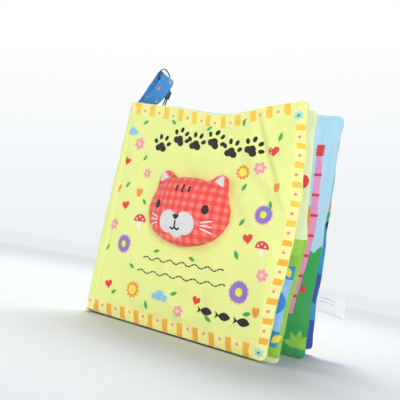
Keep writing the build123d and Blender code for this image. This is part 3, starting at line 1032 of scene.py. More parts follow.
def drape(bm, name, leaf, surface, side, material, lift, edge_lift):
    """Lays a flat mesh on a surface from the leaf's own direction, and makes it a piece."""
    chart = bm.loops.layers.uv.new("cloth")
    for face in bm.faces:
        face.smooth = True
        for loop in face.loops:
            loop[chart].uv = (loop.vert.co.x / PRINT_UNIT, loop.vert.co.y / PRINT_UNIT)
    direction = leaf.out * -side
    borders = {vert for edge in bm.edges if edge.is_boundary for vert in edge.verts}
    for vert in bm.verts:
        start = leaf.point(vert.co.x, vert.co.y, side * 60)
        hit, normal, _, _ = surface.ray_cast(start, direction)
        if hit is None:
            edge = leaf.point(vert.co.x, vert.co.y, side * 1.5)
            hit, normal, _, away = surface.find_nearest(edge)
            if away > 12 * MM:
                raise RuntimeError(f"{name} reaches past the surface it lies on")
        if normal.dot(direction) > 0:
            normal = -normal
        vert.co = hit + normal * (edge_lift if vert in borders else lift)
    bm.normal_update()
    bmesh.ops.reverse_faces(bm, faces=[face for face in bm.faces if face.normal.dot(direction) > 0])
    mesh = mesh_of(bm, name)
    mesh.materials.append(material)
    return new_piece(name, mesh)


def lay_shapes(name, leaf, surface, side, outlines, ink, lift):
    """Lays printed shapes of one ink on one side of a leaf."""
    flat = shapes_mesh(outlines, 2.2, 0.0)
    return drape(flat, name, leaf, surface, side, printed_cotton(ink), lift, lift)


def print_on(leaf_name, leaf, surface, side, body, prints):
    """Lays each colour's printed shapes on one side of a leaf, the discs of flowers over their petals."""
    for index, (ink, outlines) in enumerate(prints.items()):
        layer = {"purple": 1.6, "yellow": 2.3, "white": 2.3}.get(ink, 1)
        lift = sizes().print_lift * (layer + 0.12 * index)
        piece = lay_shapes(f"{leaf_name}_{ink}_print", leaf, surface, side, outlines, ink, lift)
        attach(piece, body)


def paw(centre, size, turn):
    """A cat's paw print: one pad and four toes."""
    rounds = ((-0.2, 0, 0.24, 0.2), (0.2, 0, 0.24, 0.2), (0, 0.12, 0.26, 0.26))
    pad = outline_joined((0, 0), rounds, size)
    shapes = [[turned(centre, x, y, turn) for x, y in pad]]
    for angle, reach in ((2.55, 0.66), (1.9, 0.74), (1.24, 0.74), (0.59, 0.66)):
        toe = turned(centre, size * reach, 0, angle + turn)
        shapes.append(outline_round(toe, 0.13 * size, 0.18 * size, angle + turn - pi / 2, 16))
    return shapes


def fish(centre, size):
    """A small plain fish: a pointed body and a tail."""
    x, y = centre
    corners = ((-0.42, 0), (-0.8, 0.28), (-0.7, 0), (-0.8, -0.28))
    tail = [(x + across * size, y + up * size) for across, up in corners]
    return [outline_leaf((x + 0.05 * size, y), 1.1 * size, 0.62 * size, 0.0), tail]


def tulip(centre, size):
    """A closed flower of three rounds."""
    rounds = ((0, -0.2, 0.5, 0.6), (-0.35, 0.2, 0.3, 0.55), (0.35, 0.2, 0.3, 0.55))
    return outline_joined(centre, rounds, size)


def small_cloud(centre, size, outer, middle):
    """A printed cloud of three rounds: the outer two stand at one height and the middle one at another."""
    rounds = ((-0.8, outer, 0.6, 0.45), (0, middle, 0.7, 0.7), (0.8, outer, 0.6, 0.45))
    return outline_joined(centre, rounds, size)


def wide_cloud(centre):
    """The wide cloud of the pages."""
    return outline_joined(centre, ((-12, 0, 10, 7), (0, 4, 12, 10), (13, 0, 11, 7)))


def narrow_cloud(centre):
    """The narrower cloud of the pages."""
    return outline_joined(centre, ((-10, 0, 9, 6), (1, 3, 11, 9), (12, 0, 9, 6)))


def flower_petals(daisies, rosettes):
    """The petals of the daisies, and the frills that show round the rosettes."""
    petals = [outline_petals((s, t), r, 6, 0.42, 0.3) for s, t, r in daisies]
    return petals + [outline_petals((s, t), r + 1.3, 14, 0.16) for s, t, r in rosettes]


def flower_discs(daisies, rosettes, suns):
    """The round middles of the daisies, the rosettes and the suns."""
    discs = [outline_round((s, t), r * 0.36, count=16) for s, t, r in daisies]
    discs += [outline_round((s, t), r * 0.42, count=20) for s, t, r in rosettes]
    return discs + [outline_round((s, t), r * 0.8, count=24) for s, t, r in suns]


def sun_rays(suns):
    """The rays of the suns."""
    return [outline_petals((s, t), r * 1.35, 11, 0.34) for s, t, r in suns]


class CLOTHBOOK_OT_front_cover(bpy.types.Operator):
    """Makes the wadded front cover and its prints"""

    bl_idname = "cloth_book.front_cover"
    bl_label = "Front Cover"

    def execute(self, context):
        outside = cover_cotton("printed_cotton_cover", FRONT_COVER.width)
        inside = hill_cotton("printed_cotton_first_inside", 60.0, linear("#6DB7DC"), 2.0, 14.0)
        cover = make_leaf("front_cover_pad", FRONT_COVER, (outside, inside))
        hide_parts("front_cover")
        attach(cover, "front_cover")
        surface = surface_of(cover)
        leaves = (
            (12, 172, 8, 3.4, 1.9),
            (27, 181, 7, 3.0, 0.5),
            (60, 182, 6.5, 2.8, 2.4),
            (101, 177, 6.5, 2.8, 0.7),
            (134, 183, 7, 3.0, 1.9),
            (171, 172, 7.5, 3.2, 1.4),
            (34, 148, 7, 3.0, 0.8),
            (20, 122, 7.5, 3.2, 0.9),
            (44, 108, 7, 3.0, 2.3),
            (9, 62, 7.5, 3.2, 1.2),
            (44, 50, 7, 3.0, 2.6),
            (28, 24, 7, 3.0, 0.6),
            (68, 20, 8, 3.4, 2.0),
            (96, 35, 7.5, 3.2, 0.4),
            (134, 22, 8, 3.4, 2.7),
            (168, 33, 8, 3.4, 0.3),
            (150, 76, 8, 3.6, 2.1),
            (150, 102, 8, 3.4, 0.9),
            (172, 118, 7.5, 3.2, 1.8),
            (146, 130, 7.5, 3.2, 1.1),
            (108, 66, 7, 3.0, 2.8),
            (70, 67, 6.5, 2.8, 0.3),
        )
        daisies = (
            *((24, 161, 6.0), (158, 146, 5.4), (12, 84, 5.4)),
            *((176, 64, 5.2), (104, 22, 5.0), (40, 134, 4.6)),
        )
        hearts = (
            *((168, 160, 4.6, 0.3), (13, 144, 4.2, -0.3), (20, 30, 4.4, 0.25)),
            *((120, 34, 4.0, -0.2), (158, 90, 4.6, 0.2), (22, 103, 4.4, 0.2)),
        )
        rosettes = ((158, 48, 8.2), (30, 68, 7.4), (168, 110, 6.8))
        tulips = ((36, 116, 5.2), (176, 132, 4.6), (8, 118, 4.6), (176, 36, 5.0))
        stools = ((43, 90, 7.0), (172, 84, 6.2))
        suns = ((50, 30, 5.4), (142, 142, 4.6))
        clouds = ((82, 30, 6.4), (12, 172, 5.4))

        # Paw prints across the top of the cover, and two rows of stitches and a few fish below the head.
        paws = []
        for i in range(6):
            side = -1 if i % 2 else 1
            centre = (51 + 19.0 * i, 160.0 + 3.2 * sin(0.9 * i) - 2.2 * side)
            paws += paw(centre, 14.2, -0.35 + 0.18 * side)
        stitches = []
        points = 156
        for start, end in (((56, 59.5), (142, 61.5)), ((52, 47.5), (146, 50.0))):
            path = wave_path(start, end, 1.3, 6.5, points)
            stitches += [outline_stroke(path[i : i + 5], 1.0) for i in range(0, points, 6)]
        shoal = []
        for i in range(3):
            shoal += fish((131 + 17.5 * i, 27.5 - 0.6 * i), 10.5)
        prints = {
            "leaf": [outline_leaf((s, t), length, width, turn) for s, t, length, width, turn in leaves],
            "pink": flower_petals(daisies, rosettes),
            "cloud": [small_cloud((s, t), r, -0.1, 0.15) for s, t, r in clouds],
            "red": [outline_heart((s, t), r, turn) for s, t, r, turn in hearts],
            "orange": [tulip((s, t), r) for s, t, r in tulips] + sun_rays(suns),
            "cream": [outline_round((s, t - 0.45 * r), 0.34 * r, 0.62 * r) for s, t, r in stools],
            "charcoal": paws + stitches + shoal,
        }
        print_on("front_cover", FRONT_COVER, surface, 1, "front_cover", prints)
        caps, spots = [], []
        for s, t, r in stools:
            caps.append([(s + r * cos(pi * i / 20), t + 0.95 * r * sin(pi * i / 20)) for i in range(21)])
            for x, y in ((-0.5, 0.3), (0, 0.6), (0.5, 0.3)):
                spots.append(outline_round((s + r * x, t + r * y), 0.15 * r, count=10))
        top = {
            "purple": [outline_round((s, t), r) for s, t, r in rosettes],
            "red": caps,
            "yellow": flower_discs(daisies, rosettes, suns),
            "white": spots,
        }
        for layer, (ink, outlines) in enumerate(top.items()):
            name, lift = f"front_cover_over_{ink}_print", sizes().print_lift * (2.1 + 0.6 * layer)
            piece = lay_shapes(name, FRONT_COVER, surface, 1, outlines, ink, lift)
            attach(piece, "front_cover")
        prints = {
            "white": [wide_cloud((52, 164)), narrow_cloud((128, 150))],
            "orange": fish((60, 40), 22) + fish((122, 34), 18),
            "red": [outline_heart((92, 118), 8.0, 0.2), outline_heart((160, 112), 6.5, -0.2)],
            "yellow": [outline_petals((156, 172), 12, 12, 0.22)],
            "leaf": [outline_leaf((40, 104), 20, 8, 0.8), outline_leaf((54, 100), 18, 8, 2.2)],
        }
        print_on("first_inside", FRONT_COVER, surface, -1, "front_cover", prints)
        return {"FINISHED"}


class CLOTHBOOK_OT_inner_sheet(bpy.types.Operator):
    """Makes the inner sheet: two wadded leaves, their prints, and the fold between them"""

    bl_idname = "cloth_book.inner_sheet"
    bl_label = "Inner Sheet"

    def execute(self, context):
        meadow = meadow_cotton("printed_cotton_meadow")
        spread_left = hill_cotton("printed_cotton_spread_left", 84.0)
        spread_right = hill_cotton("printed_cotton_spread_right")
        night = night_cotton("printed_cotton_night")
        first = make_leaf("front_page_pad", FRONT_PAGE, (meadow, spread_left))
        second = make_leaf("back_page_pad", BACK_PAGE, (spread_right, night))
        cloth = plain_cotton("cotton_fold", tuple(colours().sky))
        bend = (
            *((9.5, -8.3), (4.0, -7.3), (-0.8, -6.2), (-2.3, -3.6), (-2.5, 0)),
            *((-2.3, 3.6), (-0.8, 6.2), (4.0, 7.2), (9.5, 7.6)),
        )
        columns, rows, fold_wide, fold_high = 26, 40, 36, 192
        path = smooth_path([Vector((x, y, 0)) for x, y in bend], columns)

        def place(u, v, side):
            here, across = path_point(path, u)
            inward = Vector((0.9 * pinched(v * fold_high) * (here.x < 1), 0, 0))
            return (here + inward + across * side * 0.45 + Vector((0, 0, 0.4 + v * 192.2))) * MM

        us, vs = shares(columns), shares(rows)
        fold = sewn_blank("page_fold", us, vs, place, lambda u, v: (u * fold_wide, v * fold_high), (cloth,))
        for piece in (first, second, fold):
            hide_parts("pages")
            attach(piece, "book_block")
        front, back = surface_of(first), surface_of(second)
        frame_leaves = [outline_leaf((191.0 - 24 * i, 70.0), 8.0, 4.8, 1.9) for i in range(6)]
        frame_leaves += [outline_leaf((190.0 - 24 * i, 19.2), 9.0, 5.2, 0.8) for i in range(6)]
        hearts = [outline_heart((150, 150), 9.0, 0.2), outline_heart((70, 140), 9.0, -0.2)]
        prints = {
            "yellow": frame_leaves,
            "red": [outline_round((189.6, 141.0), 4.4, 5.4)] + hearts,
            "leaf": [outline_leaf((110, 132), 26, 11, 0.7), outline_leaf((128, 128), 24, 10, 2.3)],
        }
        print_on("meadow", FRONT_PAGE, front, 1, "book_block", prints)
        prints = {
            "white": [wide_cloud((60, 160)), narrow_cloud((135, 168))],
            "yellow": [outline_petals((100, 130), 13, 12, 0.22)],
            "lime": [outline_leaf((50, 40), 34, 13, 1.2), outline_leaf((66, 38), 30, 12, 1.9)],
        }
        print_on("spread_left", FRONT_PAGE, front, -1, "book_block", prints)
        right = (
            *((36, 179.4), (50, 180.6), (71, 183.0), (91, 185.2), (110, 186.2)),
            *((124, 186.0), (138, 184.8), (154, 183.9), (170, 183.3), (186, 182.4)),
        )
        heights = [36 + 6 * i for i in range(24)]
        pole = [(smooth_through(right, z) - 5.7, z) for z in heights]
        pole += [(smooth_through(right, z), z) for z in reversed(heights)]
        bands = []
        for i in range(7):
            z = 49.6 + 17.7 * i
            left = smooth_through(right, z) - 6.0
            bands.append([(left, z), (left + 6.2, z + 0.5), (left + 6.3, z + 2.9), (left + 0.1, z + 2.4)])
        cap = [(176.4, 173.4), (183.2, 174.0), (183.2, 184.0), (176.4, 183.6)]
        post = [(168.0, 44), (175.0, 42), (178.6, 71), (181.2, 110), (170.0, 110)]
        tuft = []
        for angle in (0.1, 0.8, 1.5, 2.2, 2.9):
            tuft.append(outline_leaf((187.6 + 5.0 * cos(angle), 10 + 6 * sin(angle)), 15, 5.4, angle))
        prints = {
            "pink": [pole],
            "lime": [post] + tuft,
            "orange": [[(171.0, 110.6), (180.8, 110.6), (179.6, 129.0), (176.0, 130.0)]],
            "white": [wide_cloud((110, 170))],
        }
        print_on("spread_right", BACK_PAGE, back, 1, "book_block", prints)
        shapes = bands + [cap, outline_round((184.6, 58.0), 2.4, 3.0)]
        lift = sizes().print_lift * 2.4
        piece = lay_shapes("spread_right_red_print", BACK_PAGE, back, 1, shapes, "red", lift)
        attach(piece, "book_block")
        stars = [outline_petals((40 + 36 * i, 158 + 12 * (i % 2)), 5.5, 5, 0.5, 0.3) for i in range(4)]
        print_on("night", BACK_PAGE, back, -1, "book_block", {"yellow": stars})
        return {"FINISHED"}


class CLOTHBOOK_OT_back_cover(bpy.types.Operator):
    """Makes the wadded back cover, its prints and its care label"""

    bl_idname = "cloth_book.back_cover"
    bl_label = "Back Cover"

    def execute(self, context):
        inside = night_cotton("printed_cotton_last_inside")
        outside = cover_cotton("printed_cotton_back_cover", BACK_COVER.width)
        cover = make_leaf("back_cover_pad", BACK_COVER, (inside, outside))
        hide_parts("back_cover")
        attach(cover, "back_cover")
        surface = surface_of(cover)
        prints = {
            "orange": [outline_round((192.6, 136.0), 2.6, 4.2), outline_petals((120, 160), 7, 8, 0.3)],
            "leaf": [outline_leaf((193.5, 127.5), 9, 4.5, 1.4), outline_leaf((100, 150), 20, 8, 0.8)],
            "charcoal": [outline_round((194.0, 119.0), 1.8, 4.0)],
        }
        print_on("last_inside", BACK_COVER, surface, 1, "back_cover", prints)
        leaves = (
            *((30, 40, 0.6), (70, 150, 2.0), (120, 90, 0.9), (160, 150, 1.8), (50, 95, 2.6)),
            *((150, 40, 0.3), (100, 170, 1.2), (18, 82, 1.1), (176, 60, 2.2), (112, 30, 0.5)),
            *((86, 84, 1.7), (30, 176, 0.4), (150, 176, 2.7)),
        )
        hearts = ((74, 124, 5.0, 0.0), (60, 70, 4.6, 0.3), (176, 110, 4.6, -0.2))
        rosettes = [(30, 64, 8.0), (172, 38, 7.4), (112, 146, 7.8)]
        suns = [(64, 30, 5.4), (174, 168, 5.0), (94, 102, 5.0)]
        clouds = [(124, 60, 6.4), (20, 140, 6.0)]
        daisies = [(45, 160, 6.0), (140, 120, 6.0), (80, 50, 6.0), (165, 75, 5.4), (25, 110, 5.4)]
        prints = {
            "leaf": [outline_leaf((s, t), 8, 3.4, turn) for s, t, turn in leaves],
            "pink": flower_petals(daisies, rosettes),
            "purple": [outline_round((s, t), r) for s, t, r in rosettes],
            "orange": sun_rays(suns),
            "cloud": [small_cloud((s, t), r, 0, 0.2) for s, t, r in clouds],
            "red": [outline_heart((s, t), r, turn) for s, t, r, turn in hearts],
            "yellow": flower_discs(daisies, rosettes, suns),
        }
        print_on("back_cover", BACK_COVER, surface, -1, "back_cover", prints)
        reach, tall, low, droop = 28.0, 16.0, 40.5, 4.5

        def place(u, v, side):
            s = 194.0 + reach * u
            hang = droop * max(0.0, (s - 201.0) / 23.0) ** 1.25
            curl = 1.1 * sin(pi * u) * (v - 0.5) + 0.8 * u * u
            return BACK_COVER.point(s, low + tall * v - hang, side * 0.28 + curl * 0.55)

        satin = label_satin("polyester_satin_label")
        tab = sewn_blank(
            "care_label_tab", shares(24), shares(16), place, lambda u, v: (u * reach, v * tall), (satin,)
        )
        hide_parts("care_label")
        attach(tab, "back_cover")
        return {"FINISHED"}


class CLOTHBOOK_OT_spine(bpy.types.Operator):
    """Makes the padded spine and the strip of cloth at each hinge"""

    bl_idname = "cloth_book.spine"
    bl_label = "Spine"

    def execute(self, context):
        cloth = plain_cotton("printed_cotton_spine", tuple(colours().lemon))
        reach, tall = 10.8, 199.0

        def place(y, z, side):
            edge = min(reach - abs(y), z, tall - z)
            pinch = pinched(z)
            rise = sqrt(max(0.0, 1 - max(0.0, 1 - edge / 4.0) ** 2)) * (1 - 0.45 * pinch)
            middle = -4.9 - 0.9 * cos(pi * y / (2 * reach)) + 3.8 * pinch
            return Vector((middle - side * (0.4 + 1.15 * rise), y * (1 - NARROWING * pinch), 0.2 + z)) * MM

        us = [y - reach for y in spaced(2 * reach, 2.4, (0, 0.8, 1.8, 3.2))]
        vs = spaced(tall, 3.2)
        spine = sewn_blank("spine_pad", us, vs, place, lambda y, z: (y - reach, z), (cloth,))
        pins = [vert.index for vert in spine.data.vertices if abs(vert.co.y) > (reach - 0.1) * MM]
        stuff(spine, pins, 0.5 * MM, sizes().spare)
        subdivide(spine)
        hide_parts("spine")
        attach(spine, "book_block")
        columns, rows = 18, 60
        spine_low, spine_high = 0.8, 198.4
        for side, leaf, name, body, cover_cloth, low, high in (
            (-1, FRONT_COVER, "front_hinge_cloth", "front_cover", "printed_cotton_cover", 2.8, 201.6),
            (1, BACK_COVER, "back_hinge_cloth", "back_cover", "printed_cotton_back_cover", 4.3, 203.2),
        ):
            outward = leaf.out * -side
            on_spine = ((-6.2, 9.4), (-6.0, 11.9), (-4.4, 14.2), (-1.6, 16.0))
            bend = [Vector((x, side * y, 0)) for x, y in on_spine]
            for s, h in ((0.2, 3.1), (2.4, 3.7), (4.6, 3.6), (7.2, 2.2)):
                bend.append(leaf.foot + leaf.along * s + outward * h)
            path = smooth_path(bend, columns)

            def place(u, v, face, leaf=leaf, path=path, low=low, high=high):
                here, across = path_point(path, u)
                on_cover = min(1, u * 2)
                start = spine_low + (low - spine_low) * on_cover
                end = spine_high + (high - spine_high) * on_cover
                taper = 0.42 * (1 - 0.6 * abs(2 * u - 1) ** 3)
                height = start + v * (end - start)
                hold = pinched(height) * max(0.0, 1 - u / 0.62)
                here = Vector((here.x + 4.4 * hold, here.y * (1 - NARROWING * hold), 0))
                here += leaf.along * leaf.lean * 0.6 * (height / LEAF_HEIGHT) ** 2 * on_cover
                return (here + across * face * taper + Vector((0, 0, height))) * MM

            cloth = bpy.data.materials[cover_cloth]
            strip = sewn_blank(
                name,
                shares(columns),
                shares(rows),
                place,
                lambda u, v: (-8.0 + 16.0 * u, LEAF_HEIGHT * v),
                (cloth,),
            )
            subdivide(strip)
            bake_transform(strip)
        return {"FINISHED"}


# The middle of the head on the front cover, and half its width and height, in millimetres.
HEAD_X, HEAD_Z = 96.0, 104.0
HEAD_WIDE, HEAD_TALL = 42.5, 29.0


class CLOTHBOOK_OT_head(bpy.types.Operator):
    """Makes the stuffed gingham head on the front cover, with its felt and embroidered face"""

    bl_idname = "cloth_book.head"
    bl_label = "Stuffed Head"

    def execute(self, context):
        leaf = FRONT_COVER
        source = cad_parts["head"]
        bm = bmesh.new()
        bm.from_mesh(source.data)
        bmesh.ops.remove_doubles(bm, verts=bm.verts, dist=1e-6)
        head = new_piece("stuffed_head", mesh_of(bm, "stuffed_head"))
        remesh = head.modifiers.new("even", "REMESH")
        remesh.mode = "VOXEL"
        remesh.voxel_size = 1.9 * MM
        keep_modifiers(head)
        axes = dict(use_axis_x=True, use_axis_y=True, use_axis_z=True)
        bm = bmesh.new()
        bm.from_mesh(head.data)
        for _ in range(3):
            bmesh.ops.smooth_vert(bm, verts=bm.verts, factor=0.5, **axes)
        bm.to_mesh(head.data)
        bm.free()

        def local(co):
            """A place from the middle of the head: across, up, and out from the cover."""
            away = Vector(co) / MM - leaf.foot
            return away.dot(leaf.along) - HEAD_X, away.z - HEAD_Z, away.dot(leaf.out)

        pins = [vert.index for vert in head.data.vertices if local(vert.co)[2] < 4.6]
        stuff(head, pins, 1.3 * MM, 0.02)
        subdivide(head)
        bm = bmesh.new()
        bm.from_mesh(head.data)
        chart = bm.loops.layers.uv.get("cloth") or bm.loops.layers.uv.new("cloth")
        for face in bm.faces:
            face.smooth = True
            face.material_index = 0
            for loop in face.loops:
                x, y, h = local(loop.vert.co)
                reach = max(0.3, hypot(x / HEAD_WIDE, y / HEAD_TALL))
                wrap = 1 + max(0.0, 12.5 - h) * 0.012 * min(1.0, reach**4)
                loop[chart].uv = (x * wrap / PRINT_UNIT, y * wrap / PRINT_UNIT)
        bm.to_mesh(head.data)
        bm.free()
        head.data.materials.clear()
        head.data.materials.append(gingham_cotton("gingham_cotton"))
        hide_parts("head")
        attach(head, "front_cover")
        surface = surface_of(head)
        white = felt("wool_felt_white", tuple(colours().white))
        black = embroidery("rayon_embroidery_charcoal", tuple(colours().charcoal))
        thread = embroidery("rayon_embroidery_white", linear("#F3F1EE"))

        def at(points):
            """Points of the face, given from the middle of the head."""
            return [(HEAD_X + x, HEAD_Z + y) for x, y in points]

        def rounded(points, radius):
            """A polygon with its corners drawn in."""
            result = []
            for i, here in enumerate(points):
                before, after = points[i - 1], points[(i + 1) % len(points)]
                here, before, after = Vector(here), Vector(before), Vector(after)
                a = here + (before - here).normalized() * radius
                b = here + (after - here).normalized() * radius
                for f in (0, 0.25, 0.5, 0.75, 1):
                    result.append(tuple(a * (1 - f) ** 2 + here * 2 * f * (1 - f) + b * f**2))
            return result

        def patch(name, nodes, shapes, material, lift, rim, width=None):
            """Felt or embroidery that takes its nodes' place on the head, its rim drawn into the cloth."""
            bm = strokes_mesh(shapes, width) if width else shapes_mesh(shapes, 1.6, rim)
            piece = drape(bm, name, leaf, surface, 1, material, lift * MM, -0.12 * MM)
            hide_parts(*nodes)
            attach(piece, "front_cover")

        ear_x, ear_y = 0.70 * HEAD_WIDE, 0.97 * HEAD_TALL
        for side, node in ((-1, "left_ear_lining"), (1, "right_ear_lining")):
            beside = ((4.5, -5.5), (2.5, 5.5), (-6.5, -0.5))
            corners = [(side * (ear_x + x), ear_y + y) for x, y in beside]
            shape = at(rounded(corners if side > 0 else corners[::-1], 2.2))
            patch(node + "_felt", (node,), [shape], white, 0.55, 0.5)
        rounds = [(-8.5, 1.0, 9.5, 9.5), (8.5, 1.0, 9.5, 9.5), (0, -3.5, 9.0, 8.5)]
        muzzle = at(outline_joined((0, -11.5), rounds, count=96))
        patch("muzzle_felt", ("muzzle",), [muzzle], white, 0.75, 0.6)
        for side, node in ((-1, "left_eye"), (1, "right_eye")):
            eye = at(outline_round((side * 25.0, 3.0), 3.3, 3.9))
            patch(node + "_stitch", (node,), [eye], black, 0.6, 0.45)
        surface = surface_of(head, bpy.data.objects["muzzle_felt"])
        nose = rounded([(-4.4, -3.9), (4.4, -3.9), (0, -9.3)][::-1], 1.5)
        patch("nose_stitch", ("nose",), [at(nose)], black, 0.6, 0.4)
        low = -14.5
        curve = []
        for f in (0.0, 0.2, 0.4, 0.6, 0.8, 1.0):
            curve.append((4.6 * f, low - 2.2 * sin(pi * min(1, f * 0.9)) + 0.6 * f))
        mouth = [at([(0, -9.0), (0, -11.5), (0, low)]), at(curve), at([(-x, y) for x, y in curve])]
        patch("mouth_stitch", ("mouth",), mouth, black, 0.5, 0, width=1.7)
        surface = surface_of(head)
        whiskers = []
        for side in (-1, 1):
            for step in (1, 0, -1):
                middle, angle = Vector((side * 27.5, -10.5 + 3.6 * step)), radians(side * 16 * step)
                half = Vector((cos(angle), sin(angle))) * 5.0
                path = [middle + half * f + Vector((0, 0.35 * (1 - f * f))) for f in (-1, -0.5, 0, 0.5, 1)]
                whiskers.append(at(path))
        patch("whiskers_stitch", ("whiskers",), whiskers, thread, 0.5, 0, width=1.3)
        stripes = []
        for column, share in ((-1, 0.75), (0, 1.0), (1, 0.75)):
            x, middle, half = column * 6.5, 0.62 * HEAD_TALL, (8.0 * share - 2.4) / 2
            stripes.append(at([(x, middle - half - 1), (x, middle), (x, middle + half + 1)]))
        patch("forehead_stitch", ("forehead_stripes",), stripes, black, 0.5, 0, width=2.4)
        return {"FINISHED"}


class CLOTHBOOK_OT_ribbon(bpy.types.Operator):
    """Makes the ribbon loop at the top of the spine and its small printed flowers"""

    bl_idname = "cloth_book.ribbon"
    bl_label = "Ribbon Loop"

    def execute(self, context):
        plain, turned = (0.0, -16.0, 0.0), (-5.3, -14.7, 3.3)
        stations = (
            ((-1.9, 188.6), plain),
            ((-1.7, 197.5), plain),
            ((3.6, 205.4), plain),
            ((7.6, 212.6), plain),
            ((11.3, 220.1), plain),
            ((15.4, 227.6), plain),
            ((18.6, 232.6), (-1.6, -15.8, 1.0)),
            ((21.6, 234.8), (-3.2, -15.4, 2.2)),
            ((25.0, 233.2), (-4.4, -15.0, 3.0)),
            ((25.2, 229.2), turned),
            ((22.9, 224.3), turned),
            ((18.6, 215.7), turned),
            ((11.4, 207.0), (-4.0, -15.2, 2.0)),
            ((4.6, 202.4), (-1.5, -15.9, 0.6)),
            ((0.6, 198.0), plain),
            ((0.0, 188.6), plain),
        )
        columns = 90
        path = smooth_path([Vector((x, 0, z)) for (x, z), _ in stations], columns)
        knots = [0.0]
        for (a, _), (b, _) in zip(stations, stations[1:]):
            knots.append(knots[-1] + hypot(b[0] - a[0], b[1] - a[1]))
        widths = []
        for axis in range(3):
            widths.append([(knot / knots[-1], wide[axis]) for knot, (_, wide) in zip(knots, stations)])

        def place(u, v, side):
            here, across = path_point(path, u, Vector((0, 1, 0)))
            wide = Vector([smooth_through(knots_of_axis, u) for knots_of_axis in widths])
            normal = wide.cross(across.cross(wide)).normalized()
            roll = 0.35 * (abs(2 * v - 1) ** 3) * sin(pi * u)
            return (here + normal * (side * 0.42 + roll) - wide * (v - 0.5)) * MM

        us, vs = shares(columns), [0, 0.05, 0.12, 0.25, 0.375, 0.5, 0.625, 0.75, 0.88, 0.95, 1.0]
        length, width = sum((b - a).length for a, b in zip(path, path[1:])), 15.8
        cloth = ribbon_satin("grosgrain_ribbon", tuple(colours().ribbon))
        ribbon = sewn_blank(
            "ribbon_loop", us, vs, place, lambda u, v: (u * length, (v - 0.5) * width), (cloth,)
        )
        subdivide(ribbon)
        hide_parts("carry_loop")
        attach(ribbon, "book_block")
        return {"FINISHED"}


# The cord's way from its knot through the lock, over the ribbon and back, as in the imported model.
CORD_ROUTE = (
    (19.35, 10.3, 199.7),
    (18.9, 11.1, 205.6),
    (20.0815, 12.2, 213.6846),
    (22.7729, 12.2, 223.7294),
    (23.0, 12.3, 229.2),
    (22.5, 10.6, 234.4),
    (21.8, 6.6, 238.4),
    (21.2, 1.2, 240.4),
    (21.0, -4.6, 239.6),
    (21.3, -9.2, 236.2),
    (21.5, -10.8, 231.4),
    (21.0, -8.2, 227.8),
    (20.6, -2.8, 226.6),
    (20.9, 3.0, 226.8),
    (22.3, 8.4, 227.2),
    (24.3185, 12.2, 223.3154),
    (21.6271, 12.2, 213.2706),
    (21.9, 11.0, 205.2),
    (21.05, 10.3, 199.7),
)


def drawn_tube(name, points, radius, order, steps, material):
    """A round tube along a smooth curve that is led by a few points, in millimetres."""
    curve = bpy.data.curves.new(name, "CURVE")
    curve.dimensions = "3D"
    curve.resolution_u = steps
    curve.bevel_depth = radius
    curve.bevel_resolution = 4
    spline = curve.splines.new("NURBS")
    spline.points.add(len(points) - 1)
    for point, place in zip(spline.points, points):
        point.co = (*(value * MM for value in place), 1)
    spline.order_u = order
    curve.materials.append(material)
    return new_piece(name, curve)


class CLOTHBOOK_OT_cord(bpy.types.Operator):
    """Makes the thin black cord, its slip lock and its knot"""

    bl_idname = "cloth_book.cord"
    bl_label = "Cord and Lock"

    def execute(self, context):
        black = braided_cord("waxed_polyester_cord", linear("#1E1B1B"))
        cord = drawn_tube("tag_cord_line", CORD_ROUTE, sizes().cord_diameter / 2, 3, 10, black)
        cord.data.use_fill_caps = True
        cord.data.splines[0].use_endpoint_u = True
        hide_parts("tag_cord")
        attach(cord, "book_block")
        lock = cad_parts["cord_lock"]
        plastic = moulded_plastic("moulded_abs_black", linear("#161414"))
        if not lock.material_slots:
            lock.data.materials.append(plastic)
        for slot in lock.material_slots:
            slot.material = plastic
        turns = []
        for i in range(22):
            a = 2 * pi * i / 22
            x, y, z = sin(a) + 2 * sin(2 * a), cos(a) - 2 * cos(2 * a), -sin(3 * a)
            turns.append((20.2 + 0.36 * x, 10.3 + 0.36 * z, 197.85 + 0.4 * y))
        line = drawn_tube("knot_line", turns, 0.62 * MM, 4, 8, black)
        line.data.splines[0].use_cyclic_u = True
        graph = bpy.context.evaluated_depsgraph_get()
        mesh = bpy.data.meshes.new_from_object(line.evaluated_get(graph))
        bpy.data.objects.remove(line)
        knot = new_piece("cord_knot_turns", mesh)
        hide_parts("cord_knot")
        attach(knot, "book_block")
        return {"FINISHED"}


# The photograph's viewpoint, fitted to the corners of the covers: its place in metres and its directions.
EYE = Vector((0.30575, -0.4970, 0.07285))
RIGHT = Vector((0.9031, 0.3884, 0.1832))
DOWN = Vector((0.1334, 0.1518, -0.9794))
FORWARD = Vector((-0.4082, 0.9089, 0.0853))


